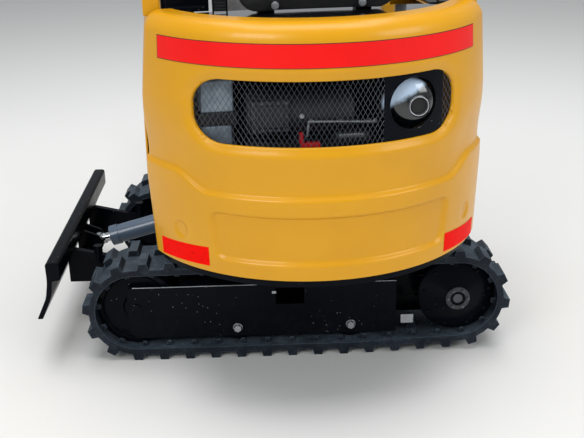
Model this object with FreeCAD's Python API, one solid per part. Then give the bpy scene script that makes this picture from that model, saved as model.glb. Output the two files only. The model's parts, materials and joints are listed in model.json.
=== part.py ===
import FreeCAD, Part

import math
import os

# A one-tonne rubber-tracked mini excavator with a four-post canopy, in millimetres.
# The origin is on the ground under the slew axis. The house, seat and boom face +Y, the rounded tail is
# at -Y and +Z is up. The undercarriage is drawn along X, blade at -X and drive sprockets at +X, and is
# then turned by TRACK_TURN, because the house stands a little off square to its tracks.

V = FreeCAD.Vector
X_AXIS = V(1, 0, 0)
Y_AXIS = V(0, 1, 0)
Z_AXIS = V(0, 0, 1)
os.makedirs("parts", exist_ok=True)

# Fits shared by all pieces
SEAT_GAP = 0.3          # between a piece and its seat on another piece
PIN_GAP = 0.05          # radial play of a pin or a rod in its bore
SIDE_PLAY = 3.0         # sideways play of an eye between two lugs

# Undercarriage
TRACK_TURN = -6.3       # degrees, tracks against the square position of the house
TRACK_CENTRE = 330.0    # middle of each belt from the middle of the machine
BELT_WIDTH = 180.0
BELT_THICK = 18.0
LUG_HEIGHT = 18.0
LUG_COUNT = 36
LUG_BASE = 34.0
LUG_TOP = 22.0
HORN_HEIGHT = 22.0
HORN_BASE = 30.0
HORN_TOP = 18.0
HORN_INNER = 12.0
HORN_OUTER = 30.0
WRAP_RADIUS = 112.0     # inside of the belt round the idler and the sprocket
IDLER_X = -454.0
MOTOR_PLATE_IN = 32.0   # inner face of the motor plate from the belt's middle
MOTOR_PLATE_OUT = 44.0
SPROCKET_X = 452.0
SPROCKET_RISE = 12.0    # the sprocket axle stands this much above the idler axle
ROLLER_X = (-171.0, 152.0)
ROLLER_Z = 78.0
FRAME_HALF = 62.0       # outer face of a track frame's plates from the belt's middle
PLATE = 8.0
FRAME_LEFT = -477.0
FRAME_RIGHT = 281.0
FRAME_BOTTOM = 55.0
FRAME_TOP = 212.0
TEETH = 11
RING_RADIUS = 195.0
RING_BASE_Z = 330.0
DECK_Z = 374.0
DECK_THICK = 20.0
WEB_TOP = 434.0         # top of the two webs on the deck plate

# Blade
BLADE_HALF = 420.0
BLADE_PIVOT = (-250.0, 130.0)
BLADE_ROD_PIN = (-620.0, 206.0)
BLADE_BARREL_PIN = (-262.0, 303.0)
ARM_SPREAD = 185.0      # middle of each push arm from the middle of the machine
ARM_THICK = 20.0

# House
TAIL = 788.0            # rear of the bonnet from the slew axis
REAR_RADIUS = 467.0     # plan radius of the bonnet's rear
BONNET_WALL = 8.0
BONNET_FRONT = -480.0
BONNET_BOTTOM = 395.0
BONNET_TOP = 1000.0
RIM_RADIUS = 378.0      # plan radius of the bonnet's inner rim
HINGE = (-500.0, 990.0)     # Y and Z of the bonnet's hinge
HINGE_KNUCKLE = (314.0, 334.0)
HINGE_PIN = 5.0
SIDE_TOP = 982.0
SIDE_REAR = -473.0
SIDE_INNER = 290.0
OPENING = (-298.0, 298.0, 728.0, 873.0)
OPENING_CORNER = 66.0
FLOOR_Z = 500.0
FLOOR_THICK = 7.0
FLOOR_HALF = 392.0
FLOOR_FRONT = 305.0
MAT_HALF = 288.0        # half the width of the floor's rubber mat
MAT_THICK = 4.0
SIDE_FRONT = -60.0
PLATFORM_Z = 880.0      # top of the seat platform
CANOPY_Z = 2120.0
POST = 40.0
REAR_POST = (395.0, -448.0)
FRONT_POST = (372.0, 283.0)
ROOF_THICK = 6.0

# Digging equipment, (Y, Z) of each pivot
SWING_Y = 395.0
BOOM_FOOT = (470.0, 430.0)
SWING_PLANE = 455.0     # height of the swing cylinder's middle
SWING_PIN_RADIUS = 22.0
SWING_CYL_BASE = (-215.0, 50.0)     # X and Y
SWING_CYL_ROD = (-70.0, 400.0)
BOOM_CYL_BASE = (533.0, 339.0)
BOOM_CYL_ROD = (910.0, 752.0)
BOOM_TIP = (1479.0, 1080.0)
ARM_CYL_BASE = (950.0, 1105.0)
ARM_CYL_ROD = (1575.0, 1160.0)
BUCKET_PIN = (1380.0, 290.0)
BUCKET_CYL_BASE = (1572.0, 967.0)
GUIDE_PIN = (1416.0, 416.0)
GUIDE_LENGTH = 155.0
LINK_LENGTH = 137.0
BUCKET_REAR_PIN = (1460.0, 253.0)
CHEEK_IN = 60.0         # half distance between the cheeks of the swing post
CHEEK_THICK = 18.0
BOOM_HALF = 48.0
BOOM_PLATE = 6.0
FORK_HALF = 38.0
FORK_START = 1366.0
ARM_HALF = 33.0
EYE_HALF = 20.0
EYE_PLAY = 5.0          # beside an eye whose pin is left open
BUCKET_HALF = 175.0
BUCKET_EAR = (43.0, 53.0)
GUIDE_PLATE = (40.0, 50.0)
TIPPING_PLATE = (26.0, 37.0)


def box(x, y, z):
    """A block between two values on each axis."""
    return Part.makeBox(x[1] - x[0], y[1] - y[0], z[1] - z[0], V(x[0], y[0], z[0]))


def bar(start, end, radius):
    """A round bar between two points."""
    start, end = V(*start), V(*end)
    return Part.makeCylinder(radius, (end - start).Length, start, end - start)


def pipe(start, end, outer, inner):
    """A round tube between two points."""
    return bar(start, end, outer).cut(bar(start, end, inner))


def join(shapes):
    """The union of some solids, without the seams between flush faces."""
    shapes = list(shapes)
    joined = shapes[0].multiFuse(shapes[1:]) if len(shapes) > 1 else shapes[0]
    return joined.removeSplitter()


def mirror_x(shape):
    """The mirror image on the other side of the machine's middle plane."""
    return shape.mirror(V(0, 0, 0), X_AXIS)


def mirror_y(shape):
    return shape.mirror(V(0, 0, 0), Y_AXIS)


def outline(corners, place):
    """A closed wire through (u, v, radius) corners, each rounded by an arc; place turns (u, v) into a point."""
    count = len(corners)
    stops = []
    for i, (u, v, radius) in enumerate(corners):
        here = V(u, v, 0)
        before = V(corners[i - 1][0], corners[i - 1][1], 0)
        after = V(corners[(i + 1) % count][0], corners[(i + 1) % count][1], 0)
        if radius <= 0:
            stops.append((here, None, here))
            continue
        back, ahead = (before - here).normalize(), (after - here).normalize()
        half = back.getAngle(ahead) / 2
        reach = radius / math.tan(half)
        middle = (back + ahead).normalize()
        apex = here + middle * (radius / math.sin(half) - radius)
        stops.append((here + back * reach, apex, here + ahead * reach))
    edges = []
    for i, (start, apex, end) in enumerate(stops):
        if apex is not None:
            edges.append(Part.Arc(place(start), place(apex), place(end)).toShape())
        following = stops[(i + 1) % count][0]
        if end.distanceToPoint(following) > 1e-6:
            edges.append(Part.LineSegment(place(end), place(following)).toShape())
    return Part.Wire(edges)


def prism(corners, plane, low, high):
    """An outline of (u, v, radius) corners pushed from low to high square to its plane: "XY", "XZ" or "YZ"."""
    places = {
        "XY": (lambda p: V(p.x, p.y, low), V(0, 0, high - low)),
        "XZ": (lambda p: V(p.x, low, p.y), V(0, high - low, 0)),
        "YZ": (lambda p: V(low, p.x, p.y), V(high - low, 0, 0)),
    }
    place, push = places[plane]
    return Part.Face(outline(corners, place)).extrude(push)


def pushed(face, way):
    """A face pushed along a vector into a solid that isn't inside out."""
    solid = face.extrude(way)
    if solid.Volume < 0:
        solid.reverse()
    return solid


def sharp(points):
    """Corners without rounding."""
    return [(u, v, 0) for u, v in points]


def cross_bar(point, half, radius):
    """A bar along X through a (Y, Z) point."""
    return bar((-half, point[0], point[1]), (half, point[0], point[1]), radius)


def ring_x(point, low, high, outer, inner):
    """An eye with its axis along X."""
    return pipe((low, point[0], point[1]), (high, point[0], point[1]), outer, inner)


# Tracks

IDLER_Z = WRAP_RADIUS + BELT_THICK + LUG_HEIGHT
SPROCKET_Z = IDLER_Z + SPROCKET_RISE
BELT_FLOOR = LUG_HEIGHT + BELT_THICK
ROLLER_RADIUS = ROLLER_Z - BELT_FLOOR - SEAT_GAP


def belt_path(radius):
    """The loop at a wrap radius as lines and arcs: (kind, length, data), from the idler's foot and forward."""
    low = IDLER_Z - radius
    bend = (ROLLER_X[1], low)
    reach = math.hypot(SPROCKET_X - bend[0], SPROCKET_Z - bend[1])
    toward = math.atan2(SPROCKET_Z - bend[1], SPROCKET_X - bend[0])
    climb = toward - math.asin(radius / reach)
    touch = (SPROCKET_X + radius * math.sin(climb), SPROCKET_Z - radius * math.cos(climb))
    tilt = math.atan2(SPROCKET_Z - IDLER_Z, SPROCKET_X - IDLER_X)
    lift = (-math.sin(tilt) * radius, math.cos(tilt) * radius)
    over_sprocket = (SPROCKET_X + lift[0], SPROCKET_Z + lift[1])
    over_idler = (IDLER_X + lift[0], IDLER_Z + lift[1])
    flat = bend[0] - IDLER_X
    rise = math.hypot(touch[0] - bend[0], touch[1] - bend[1])
    top = math.hypot(over_sprocket[0] - over_idler[0], over_sprocket[1] - over_idler[1])
    wrap_end = math.pi / 2 + tilt
    return [
        ("line", flat, ((IDLER_X, low), bend)),
        ("line", rise, (bend, touch)),
        ("arc", radius * (wrap_end - climb + math.pi / 2),
         ((SPROCKET_X, SPROCKET_Z), radius, climb - math.pi / 2, wrap_end)),
        ("line", top, (over_sprocket, over_idler)),
        ("arc", radius * (math.pi - tilt), ((IDLER_X, IDLER_Z), radius, wrap_end, 3 * math.pi / 2)),
    ]


def belt_point(path, share, height):
    """The point at a share of the loop's length, raised outwards by a height."""
    distance = (share % 1.0) * sum(length for _, length, _ in path)
    for kind, length, data in path:
        if distance > length:
            distance -= length
            continue
        part = distance / length
        if kind == "line":
            (x0, z0), (x1, z1) = data
            run = math.hypot(x1 - x0, z1 - z0)
            nx, nz = (z1 - z0) / run, -(x1 - x0) / run
            return V(x0 + (x1 - x0) * part + nx * height, 0, z0 + (z1 - z0) * part + nz * height)
        (cx, cz), radius, first, last = data
        angle = first + (last - first) * part
        reach = radius + height
        return V(cx + reach * math.cos(angle), 0, cz + reach * math.sin(angle))
    return V(IDLER_X, 0, IDLER_Z - path[-1][2][1] - height)


def smooth_loop(radius):
    """The loop at a wrap radius as exact lines and arcs."""
    edges = []
    for kind, _, data in belt_path(radius):
        if kind == "line":
            (x0, z0), (x1, z1) = data
            edges.append(Part.LineSegment(V(x0, 0, z0), V(x1, 0, z1)).toShape())
        else:
            (cx, cz), wrap, first, last = data
            stops = [V(cx + wrap * math.cos(a), 0, cz + wrap * math.sin(a))
                     for a in (first, (first + last) / 2, last)]
            edges.append(Part.Arc(*stops).toShape())
    return Part.Wire(edges)


def toothed_loop(radius, base, top, height, phase):
    """The loop with a block at each pitch, out by height, or in when height is negative."""
    path = belt_path(radius)
    total = sum(length for _, length, _ in path)
    points = []
    for i in range(LUG_COUNT):
        middle = (i + phase) / LUG_COUNT
        for offset, rise in ((-base / 2, 0), (-top / 2, height), (top / 2, height), (base / 2, 0)):
            points.append(belt_point(path, middle + offset / total, rise))
        points.append(belt_point(path, middle + 0.5 / LUG_COUNT, 0))
    return Part.makePolygon(points + points[:1])


def track():
    """One rubber belt: staggered ground lugs outside, two rows of guide horns inside, on Y = 0."""
    outer, half = WRAP_RADIUS + BELT_THICK, BELT_WIDTH / 2
    lugs = [toothed_loop(outer, LUG_BASE, LUG_TOP, LUG_HEIGHT, phase) for phase in (0.0, 0.5)]
    plain_in = smooth_loop(WRAP_RADIUS)
    horns = toothed_loop(WRAP_RADIUS, HORN_BASE, HORN_TOP, -HORN_HEIGHT, 0.25)
    strips = [
        (-half, -HORN_OUTER, lugs[0], plain_in),
        (-HORN_OUTER, -HORN_INNER, lugs[0], horns),
        (-HORN_INNER, HORN_INNER, smooth_loop(outer), plain_in),
        (HORN_INNER, HORN_OUTER, lugs[1], horns),
        (HORN_OUTER, half, lugs[1], plain_in),
    ]
    solids = []
    for low, high, skin, inside in strips:
        push = V(0, high - low, 0)
        strip = Part.Face(skin).extrude(push).cut(Part.Face(inside).extrude(push))
        strip.translate(V(0, low, 0))
        solids.append(strip)
    return join(solids)


def sprocket():
    """Drive sprocket with its dished cover, facing -Y, on its own axle at the sprocket's place."""
    tip, root = WRAP_RADIUS - SEAT_GAP, WRAP_RADIUS - HORN_HEIGHT
    step = 2 * math.pi / TEETH
    points = []
    for i in range(TEETH):
        for share, radius in ((-0.30, root), (-0.12, tip), (0.12, tip), (0.30, root)):
            angle = (i + share) * step
            points.append(V(radius * math.cos(angle), -9, radius * math.sin(angle)))
    disc = Part.Face(Part.makePolygon(points + points[:1])).extrude(V(0, 18, 0))
    cover_profile = [(0, -84), (30, -84), (36, -80), (104, -56), (108, -50), (108, -45), (58, -41),
                     (58, MOTOR_PLATE_IN - SEAT_GAP), (0, MOTOR_PLATE_IN - SEAT_GAP)]
    wire = Part.makePolygon([V(r, y, 0) for r, y in cover_profile + cover_profile[:1]])
    hub = Part.Face(wire).revolve(V(0, 0, 0), Y_AXIS, 360)
    shape = join([disc, hub])
    shape.translate(V(SPROCKET_X, 0, SPROCKET_Z))
    return shape


def idler():
    """Front idler with two rims and a middle ridge that runs between the guide horns."""
    rim = WRAP_RADIUS - SEAT_GAP
    groove = WRAP_RADIUS - HORN_HEIGHT - 4
    profile = [(15 + PIN_GAP, -52), (34, -52), (40, -42), (92, -42), (98, -50), (rim, -50), (rim, -34),
               (groove, -33), (groove, -10), (rim - 4, -9), (rim - 4, 9), (groove, 10), (groove, 33),
               (rim, 34), (rim, 50), (98, 50), (92, 42), (40, 42), (34, 52), (15 + PIN_GAP, 52)]
    wire = Part.makePolygon([V(r, y, 0) for r, y in profile + profile[:1]])
    wheel = Part.Face(wire).revolve(V(0, 0, 0), Y_AXIS, 360)
    wheel.translate(V(IDLER_X, 0, IDLER_Z))
    return wheel


def roller(x):
    """Bottom roller: two rims outside the horns on one turned spindle."""
    ends = FRAME_HALF - PLATE - 1.5
    profile = [(12 + PIN_GAP, -ends), (ROLLER_RADIUS - 4, -ends), (ROLLER_RADIUS, -ends + 4),
               (ROLLER_RADIUS, -34), (17, -30), (17, 30), (ROLLER_RADIUS, 34),
               (ROLLER_RADIUS, ends - 4), (ROLLER_RADIUS - 4, ends), (12 + PIN_GAP, ends)]
    wire = Part.makePolygon([V(r, y, 0) for r, y in profile + profile[:1]])
    wheel = Part.Face(wire).revolve(V(0, 0, 0), Y_AXIS, 360)
    wheel.translate(V(x, 0, ROLLER_Z))
    return wheel


def track_frame():
    """Side frame of one track, on Y = 0 with its outside at -Y: two plates, a lid and axles."""
    corners = [(FRAME_LEFT, FRAME_BOTTOM, 30), (FRAME_RIGHT, FRAME_BOTTOM, 0),
               (FRAME_RIGHT, FRAME_TOP, 0), (FRAME_LEFT, FRAME_TOP, 12)]
    outer = prism(corners, "XZ", -FRAME_HALF, -FRAME_HALF + PLATE)
    inner = prism(corners, "XZ", FRAME_HALF - PLATE, FRAME_HALF)
    lid = box((-330, FRAME_RIGHT), (-FRAME_HALF + PLATE, FRAME_HALF - PLATE), (FRAME_TOP - PLATE, FRAME_TOP))
    end = box((FRAME_RIGHT - PLATE, FRAME_RIGHT), (-FRAME_HALF, FRAME_HALF), (ROLLER_Z + 44, FRAME_TOP))
    window = box((-60, 20), (-FRAME_HALF - 1, -FRAME_HALF + PLATE + 1), (150, 200))
    solids = [outer.cut(window), inner, lid, end]
    for x in ROLLER_X:
        solids.append(bar((x, -FRAME_HALF - 5, ROLLER_Z), (x, FRAME_HALF + 5, ROLLER_Z), 12))
    solids.append(bar((IDLER_X, -FRAME_HALF - 4, IDLER_Z), (IDLER_X, FRAME_HALF + 4, IDLER_Z), 15))
    motor_plate = prism([(FRAME_RIGHT - PLATE, SPROCKET_Z - 60, 0), (SPROCKET_X + 60, SPROCKET_Z - 60, 52),
                         (SPROCKET_X + 60, SPROCKET_Z + 60, 52), (FRAME_RIGHT - PLATE, SPROCKET_Z + 52, 0)],
                        "XZ", MOTOR_PLATE_IN, MOTOR_PLATE_OUT)
    gusset = box((FRAME_RIGHT - 60, FRAME_RIGHT), (MOTOR_PLATE_IN, FRAME_HALF - PLATE), (150, FRAME_TOP - PLATE))
    return join(solids + [motor_plate, gusset])


def travel_motor():
    """Hydraulic motor on the inner side of the motor plate."""
    case = bar((SPROCKET_X, MOTOR_PLATE_OUT, SPROCKET_Z), (SPROCKET_X, MOTOR_PLATE_OUT + 44, SPROCKET_Z), 52)
    valve = box((SPROCKET_X - 34, SPROCKET_X + 34), (MOTOR_PLATE_OUT + 30, MOTOR_PLATE_OUT + 72),
                (SPROCKET_Z - 30, SPROCKET_Z + 40))
    return join([case, valve])


def car_body():
    """Centre of the undercarriage: two cross beams, the ring tower and the lugs of blade and cylinder."""
    inner = TRACK_CENTRE - FRAME_HALF
    beams = [prism([(x - 58, 108, 14), (x + 58, 108, 14), (x + 58, 214, 14), (x - 58, 214, 14)],
                   "XZ", -inner, inner) for x in (-150.0, 150.0)]
    middle = box((-150, 150), (-165, 165), (150, 226))
    tower = bar((0, 0, 200), (0, 0, RING_BASE_Z - 14), 168)
    flange = bar((0, 0, RING_BASE_Z - 14), (0, 0, RING_BASE_Z), RING_RADIUS)
    ring = bar((0, 0, RING_BASE_Z), (0, 0, DECK_Z - 22 - SEAT_GAP), RING_RADIUS - 10)
    bore = bar((0, 0, 100), (0, 0, DECK_Z + 1), 110)
    solids = beams + [middle, tower, flange, ring]
    px, pz = BLADE_PIVOT
    for side in (-1, 1):
        inside = side * (ARM_SPREAD - ARM_THICK / 2 - SIDE_PLAY)
        low, high = sorted((inside, inside - side * 22))
        lug = prism([(px - 30, pz - 30, 29), (-150, pz - 22, 0), (-150, pz + 40, 0), (px - 30, pz + 30, 29)],
                    "XZ", low, high)
        solids.append(lug)
    bx, bz = BLADE_BARREL_PIN
    for side in (-1, 1):
        low, high = sorted((side * (20 + SIDE_PLAY), side * (20 + SIDE_PLAY + 14)))
        solids.append(prism([(bx - 23, bz - 14, 20), (-170, 190, 0), (-150, 300, 0), (bx + 8, bz + 23, 20),
                             (bx - 23, bz + 23, 22)], "XZ", low, high))
    body = join(solids).cut(bore)
    for side in (-1, 1):
        start = side * (ARM_SPREAD - ARM_THICK / 2 - SIDE_PLAY - 22)
        body = body.fuse(bar((px, start, pz), (px, side * (ARM_SPREAD + ARM_THICK / 2 + 8), pz), 14))
    pin = bar((bx, -20 - SIDE_PLAY - 18, bz), (bx, 20 + SIDE_PLAY + 18, bz), 12)
    return join([body, pin])


def blade():
    """Dozer blade: a curved board with a box rail along its top and a cutting edge along its foot."""
    board = prism([(-690, 308, 9), (-689, 252, 150), (-697, 203, 90), (-727, 139, 0), (-712, 139, 0),
                   (-682, 203, 90), (-675, 252, 0), (-652, 256, 4), (-652, 308, 9)],
                  "XZ", -BLADE_HALF, BLADE_HALF)
    return board


def blade_arms():
    """Two push arms and the rod clevis, welded to the blade's back."""
    px, pz = BLADE_PIVOT
    solids = []
    back = -675.0
    for side in (-1, 1):
        low, high = sorted((side * (ARM_SPREAD - ARM_THICK / 2), side * (ARM_SPREAD + ARM_THICK / 2)))
        arm = prism([(back, 150, 0), (back + 60, 150, 30), (px - 60, pz - 32, 60), (px + 30, pz - 30, 29),
                     (px + 30, pz + 32, 30), (px - 20, pz + 34, 60), (-660, 256, 0), (back, 256, 0)],
                    "XZ", low, high)
        solids.append(arm.cut(bar((px, low - 1, pz), (px, high + 1, pz), 14 + PIN_GAP)))
    rx, rz = BLADE_ROD_PIN
    for side in (-1, 1):
        low, high = sorted((side * (20 + SIDE_PLAY), side * (20 + SIDE_PLAY + 10)))
        solids.append(prism([(back, 140, 0), (rx + 12, rz - 28, 20), (rx + 30, rz + 4, 20), (rx + 10, rz + 26, 18),
                             (-660, 253, 0), (back, 253, 0)], "XZ", low, high))
        low, high = sorted((side * (20 + SIDE_PLAY + 10), side * (20 + SIDE_PLAY + 16)))
        solids.append(bar((rx, low, rz), (rx, high, rz), 18))
    tie = box((back, back + 40), (-ARM_SPREAD, ARM_SPREAD), (150, 175))
    board_back = blade()
    for x, side in ((-585.0, -1), (-505.0, 1)):
        solids.append(bar((x, side * ARM_SPREAD, 215), (x, side * ARM_SPREAD, 262), 13))
    return join(solids + [tie]).cut(board_back)


# Hydraulic cylinders

# What each barrel and rod measures; shift is how far the rod still comes out from its place here
CYLINDERS = {
    # name: (barrel pin, rod pin, barrel radius, rod radius, barrel length, shift, eye radius, eye half, pin)
    "blade": (BLADE_BARREL_PIN, BLADE_ROD_PIN, 29.0, 15.0, 322.0, 108.0, 22.0, EYE_HALF, 12.0),
    "swing": (SWING_CYL_BASE, SWING_CYL_ROD, 25.0, 12.5, 272.0, 76.0, 16.0, 14.0, 9.0),
    "boom": (BOOM_CYL_BASE, BOOM_CYL_ROD, 27.0, 15.0, 372.0, 70.0, 22.0, EYE_HALF, 13.0),
    "arm": (ARM_CYL_BASE, ARM_CYL_ROD, 29.0, 15.0, 396.0, 33.0, 23.0, EYE_HALF, 13.0),
    "bucket": (BUCKET_CYL_BASE, None, 27.0, 15.0, 500.0, 96.0, 23.0, EYE_HALF, 13.0),
}


def cylinder_parts(barrel_pin, rod_pin, barrel_radius, rod_radius, barrel_length, shift, eye_radius, eye_half,
                   pin_radius):
    """Barrel and rod drawn along +Y from the origin, with their eyes along X."""
    span = math.hypot(rod_pin[0] - barrel_pin[0], rod_pin[1] - barrel_pin[1])
    head = barrel_radius + 3
    wall = 6.0
    eye = ring_x((0, 0), -eye_half, eye_half, eye_radius, pin_radius + PIN_GAP)
    neck = bar((0, 0, 0), (0, eye_radius + 12, 0), barrel_radius * 0.6)
    neck = neck.cut(bar((-60, 0, 0), (60, 0, 0), eye_radius - 3))
    tube = bar((0, eye_radius + 8, 0), (0, barrel_length - 20, 0), barrel_radius)
    collar = bar((0, barrel_length - 26, 0), (0, barrel_length, 0), head)
    port = bar((0, barrel_length - 50, 0), (0, barrel_length - 50, barrel_radius + 8), 7)
    space = bar((0, eye_radius + 18, 0), (0, barrel_length - 26, 0), barrel_radius - wall)
    gland = bar((0, barrel_length - 30, 0), (0, barrel_length + 1, 0), rod_radius + PIN_GAP)
    barrel = join([eye, neck, tube, collar, port]).cut(space).cut(gland)
    piston_end = barrel_length - 28 - shift
    piston = bar((0, piston_end - 22, 0), (0, piston_end, 0), barrel_radius - wall - PIN_GAP)
    stem = bar((0, piston_end - 10, 0), (0, span - eye_radius + 5, 0), rod_radius)
    rod_eye = bar((-eye_half, span, 0), (eye_half, span, 0), eye_radius)
    throat = bar((0, span - eye_radius - 6, 0), (0, span - eye_radius + 5, 0), rod_radius + 3)
    stub = bar((-eye_half - 1.5, span, 0), (eye_half + 1.5, span, 0), pin_radius)
    return barrel, join([piston, stem, throat, rod_eye, stub])


def lay_yz(shape, pin, target):
    """Turns a shape drawn along +Y so that it runs from pin to target in the Y-Z plane."""
    angle = math.degrees(math.atan2(target[1] - pin[1], target[0] - pin[0]))
    shape.rotate(V(0, 0, 0), X_AXIS, angle)
    shape.translate(V(0, pin[0], pin[1]))
    return shape


def lay_xz(shape, pin, target):
    """Turns a shape drawn along +Y with its eyes along X so that it runs from pin to target in the X-Z plane."""
    angle = math.degrees(math.atan2(target[1] - pin[1], target[0] - pin[0]))
    shape.rotate(V(0, 0, 0), Z_AXIS, -90)
    shape.rotate(V(0, 0, 0), Y_AXIS, -angle)
    shape.translate(V(pin[0], 0, pin[1]))
    return shape


def lay_xy(shape, pin, target):
    """Turns a shape drawn along +Y so that it runs from pin to target at the swing cylinder's height."""
    angle = math.degrees(math.atan2(target[1] - pin[1], target[0] - pin[0]))
    shape.rotate(V(0, 0, 0), Y_AXIS, 90)
    shape.rotate(V(0, 0, 0), Z_AXIS, angle - 90)
    shape.translate(V(pin[0], pin[1], SWING_PLANE))
    return shape


def cylinder(name, lay):
    """The barrel and rod of one cylinder of the table, in place."""
    barrel_pin, rod_pin = CYLINDERS[name][:2]
    barrel, rod = cylinder_parts(*CYLINDERS[name])
    return lay(barrel, barrel_pin, rod_pin), lay(rod, barrel_pin, rod_pin)


def circle_meeting(first, first_radius, second, second_radius):
    """Where two circles meet, on the left of the way from the first centre to the second."""
    dy, dz = second[0] - first[0], second[1] - first[1]
    gap = math.hypot(dy, dz)
    along = (first_radius ** 2 - second_radius ** 2 + gap ** 2) / (2 * gap)
    across = math.sqrt(first_radius ** 2 - along ** 2)
    return (first[0] + along * dy / gap - across * dz / gap, first[1] + along * dz / gap + across * dy / gap)


LINK_TIP = circle_meeting(GUIDE_PIN, GUIDE_LENGTH, BUCKET_REAR_PIN, LINK_LENGTH)
CYLINDERS["bucket"] = (BUCKET_CYL_BASE, LINK_TIP) + CYLINDERS["bucket"][2:]


# House

REAR_CENTRE = REAR_RADIUS - TAIL
GRILLE_PLAIN = (123.0, 257.0)
SILENCER = (190.0, 800.0)     # X and Z of its axis
SILENCER_RADIUS = 60.0


def plan(half, radius, front, z, corner=40.0):
    """The bonnet's plan at one height: two sides, two small corners and the round rear."""
    shrink = REAR_RADIUS - radius
    angle = math.asin((half - corner) / (radius - corner))
    cy = REAR_CENTRE
    corner_y = cy - (radius - corner) * math.cos(angle)
    mid = (math.pi / 2 + angle) / 2

    def on_corner(turn, side):
        return V(side * (half - corner + corner * math.sin(turn)), corner_y - corner * math.cos(turn), z)

    def on_rear(turn):
        return V(radius * math.sin(turn), cy - radius * math.cos(turn), z)

    edges = [
        Part.LineSegment(V(-half, front, z), V(-half, corner_y, z)).toShape(),
        Part.Arc(V(-half, corner_y, z), on_corner(mid, -1), on_rear(-angle)).toShape(),
        Part.Arc(on_rear(-angle), V(0, cy - radius, z), on_rear(angle)).toShape(),
        Part.Arc(on_rear(angle), on_corner(mid, 1), V(half, corner_y, z)).toShape(),
        Part.LineSegment(V(half, corner_y, z), V(half, front, z)).toShape(),
        Part.LineSegment(V(half, front, z), V(-half, front, z)).toShape(),
    ]
    return Part.Wire(edges)


# Heights of the bonnet's sections with the half width and the rear radius there
BONNET_SECTIONS = (
    # z, half width, rear radius
    (BONNET_BOTTOM, 420.0, 460.0),
    (600.0, 432.0, 467.0),
    (800.0, 430.0, 466.0),
    (960.0, 414.0, 458.0),
)
TOP_SECTION = (BONNET_TOP, 374.0, 418.0)


def bonnet_solid(inset):
    """The bonnet's outer form, or the space in it when inset is its wall."""
    wires = [plan(half - inset, radius - inset, BONNET_FRONT, z) for z, half, radius in BONNET_SECTIONS]
    z_low, z_high = BONNET_SECTIONS[0][0], TOP_SECTION[0] - inset
    wires[0] = plan(BONNET_SECTIONS[0][1] - inset, BONNET_SECTIONS[0][2] - inset, BONNET_FRONT,
                    z_low - (1 if inset else 0))
    wires.append(plan(TOP_SECTION[1] + 14 - inset, TOP_SECTION[2] + 14 - inset, BONNET_FRONT, z_high - 10))
    wires.append(plan(TOP_SECTION[1] - inset, TOP_SECTION[2] - inset, BONNET_FRONT, z_high))
    return Part.makeLoft(wires, True, True)


def engine_bonnet():
    """Rounded rear cover, open in front and below, with a rolled rim on top and an oblong grille opening."""
    outer = bonnet_solid(0)
    inner = bonnet_solid(BONNET_WALL)
    shell = outer.cut(inner)
    well = bar((0, REAR_CENTRE, BONNET_TOP - 40), (0, REAR_CENTRE, BONNET_TOP + 10), RIM_RADIUS)
    shell = shell.cut(well)
    front = box((-500, 500), (BONNET_FRONT - 1, 0), (0, 1200))
    shell = shell.cut(front)
    x0, x1, z0, z1 = OPENING
    hole = prism([(x0, z0, OPENING_CORNER), (x1, z0, OPENING_CORNER), (x1, z1, OPENING_CORNER),
                  (x0, z1, OPENING_CORNER)], "XZ", -900, BONNET_FRONT)
    hy, hz = HINGE
    low, high = HINGE_KNUCKLE
    hinges = []
    for side in (-1, 1):
        hinges.append(ring_x(HINGE, *sorted((side * low, side * high)), 10, HINGE_PIN + PIN_GAP))
        tab = box(sorted((side * low, side * (high + 12))), (hy - 8, hy + 8), (BONNET_TOP - BONNET_WALL, BONNET_TOP))
        hinges.append(tab.cut(cross_bar(HINGE, 400, HINGE_PIN + PIN_GAP)))
    return join([shell.cut(hole)] + hinges)


def rear_radius(z):
    """The rear radius of the bonnet's outside at one height."""
    for (z0, _, r0), (z1, _, r1) in zip(BONNET_SECTIONS, BONNET_SECTIONS[1:]):
        if z0 <= z <= z1:
            return r0 + (r1 - r0) * (z - z0) / (z1 - z0)
    return REAR_RADIUS


def grille():
    """Expanded-metal sheet behind the opening, with a plain field and a hole for the silencer."""
    x0, x1, z0, z1 = OPENING
    radius = rear_radius(z1 + 14) - BONNET_WALL - SEAT_GAP
    ring = pipe((0, REAR_CENTRE, z0 - 14), (0, REAR_CENTRE, z1 + 14), radius, radius - 3)
    keep = box((x0 - 12, x1 + 12), (-900, REAR_CENTRE - 120), (z0 - 14, z1 + 14))
    sheet = ring.common(keep)
    across, up = 40.0, 46.0
    bars = []
    for row in range(6):
        shift = across / 2 if row % 2 else 0
        for column in range(-7, 8):
            x = column * across + shift
            z = z0 + 14 + row * up / 2
            if GRILLE_PLAIN[0] - 16 < x < GRILLE_PLAIN[1] + 16 or not x0 + 22 < x < x1 - 22:
                continue
            bars.append(prism(sharp([(x - across / 2 + 4, z), (x, z - up / 2 + 4), (x + across / 2 - 4, z),
                                     (x, z + up / 2 - 4)]), "XZ", -900, REAR_CENTRE - 130))
    hole = bar((SILENCER[0], -900, SILENCER[1]), (SILENCER[0], REAR_CENTRE - 130, SILENCER[1]),
               SILENCER_RADIUS + 5)
    return sheet.cut(Part.makeCompound(bars)).cut(hole)


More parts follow.
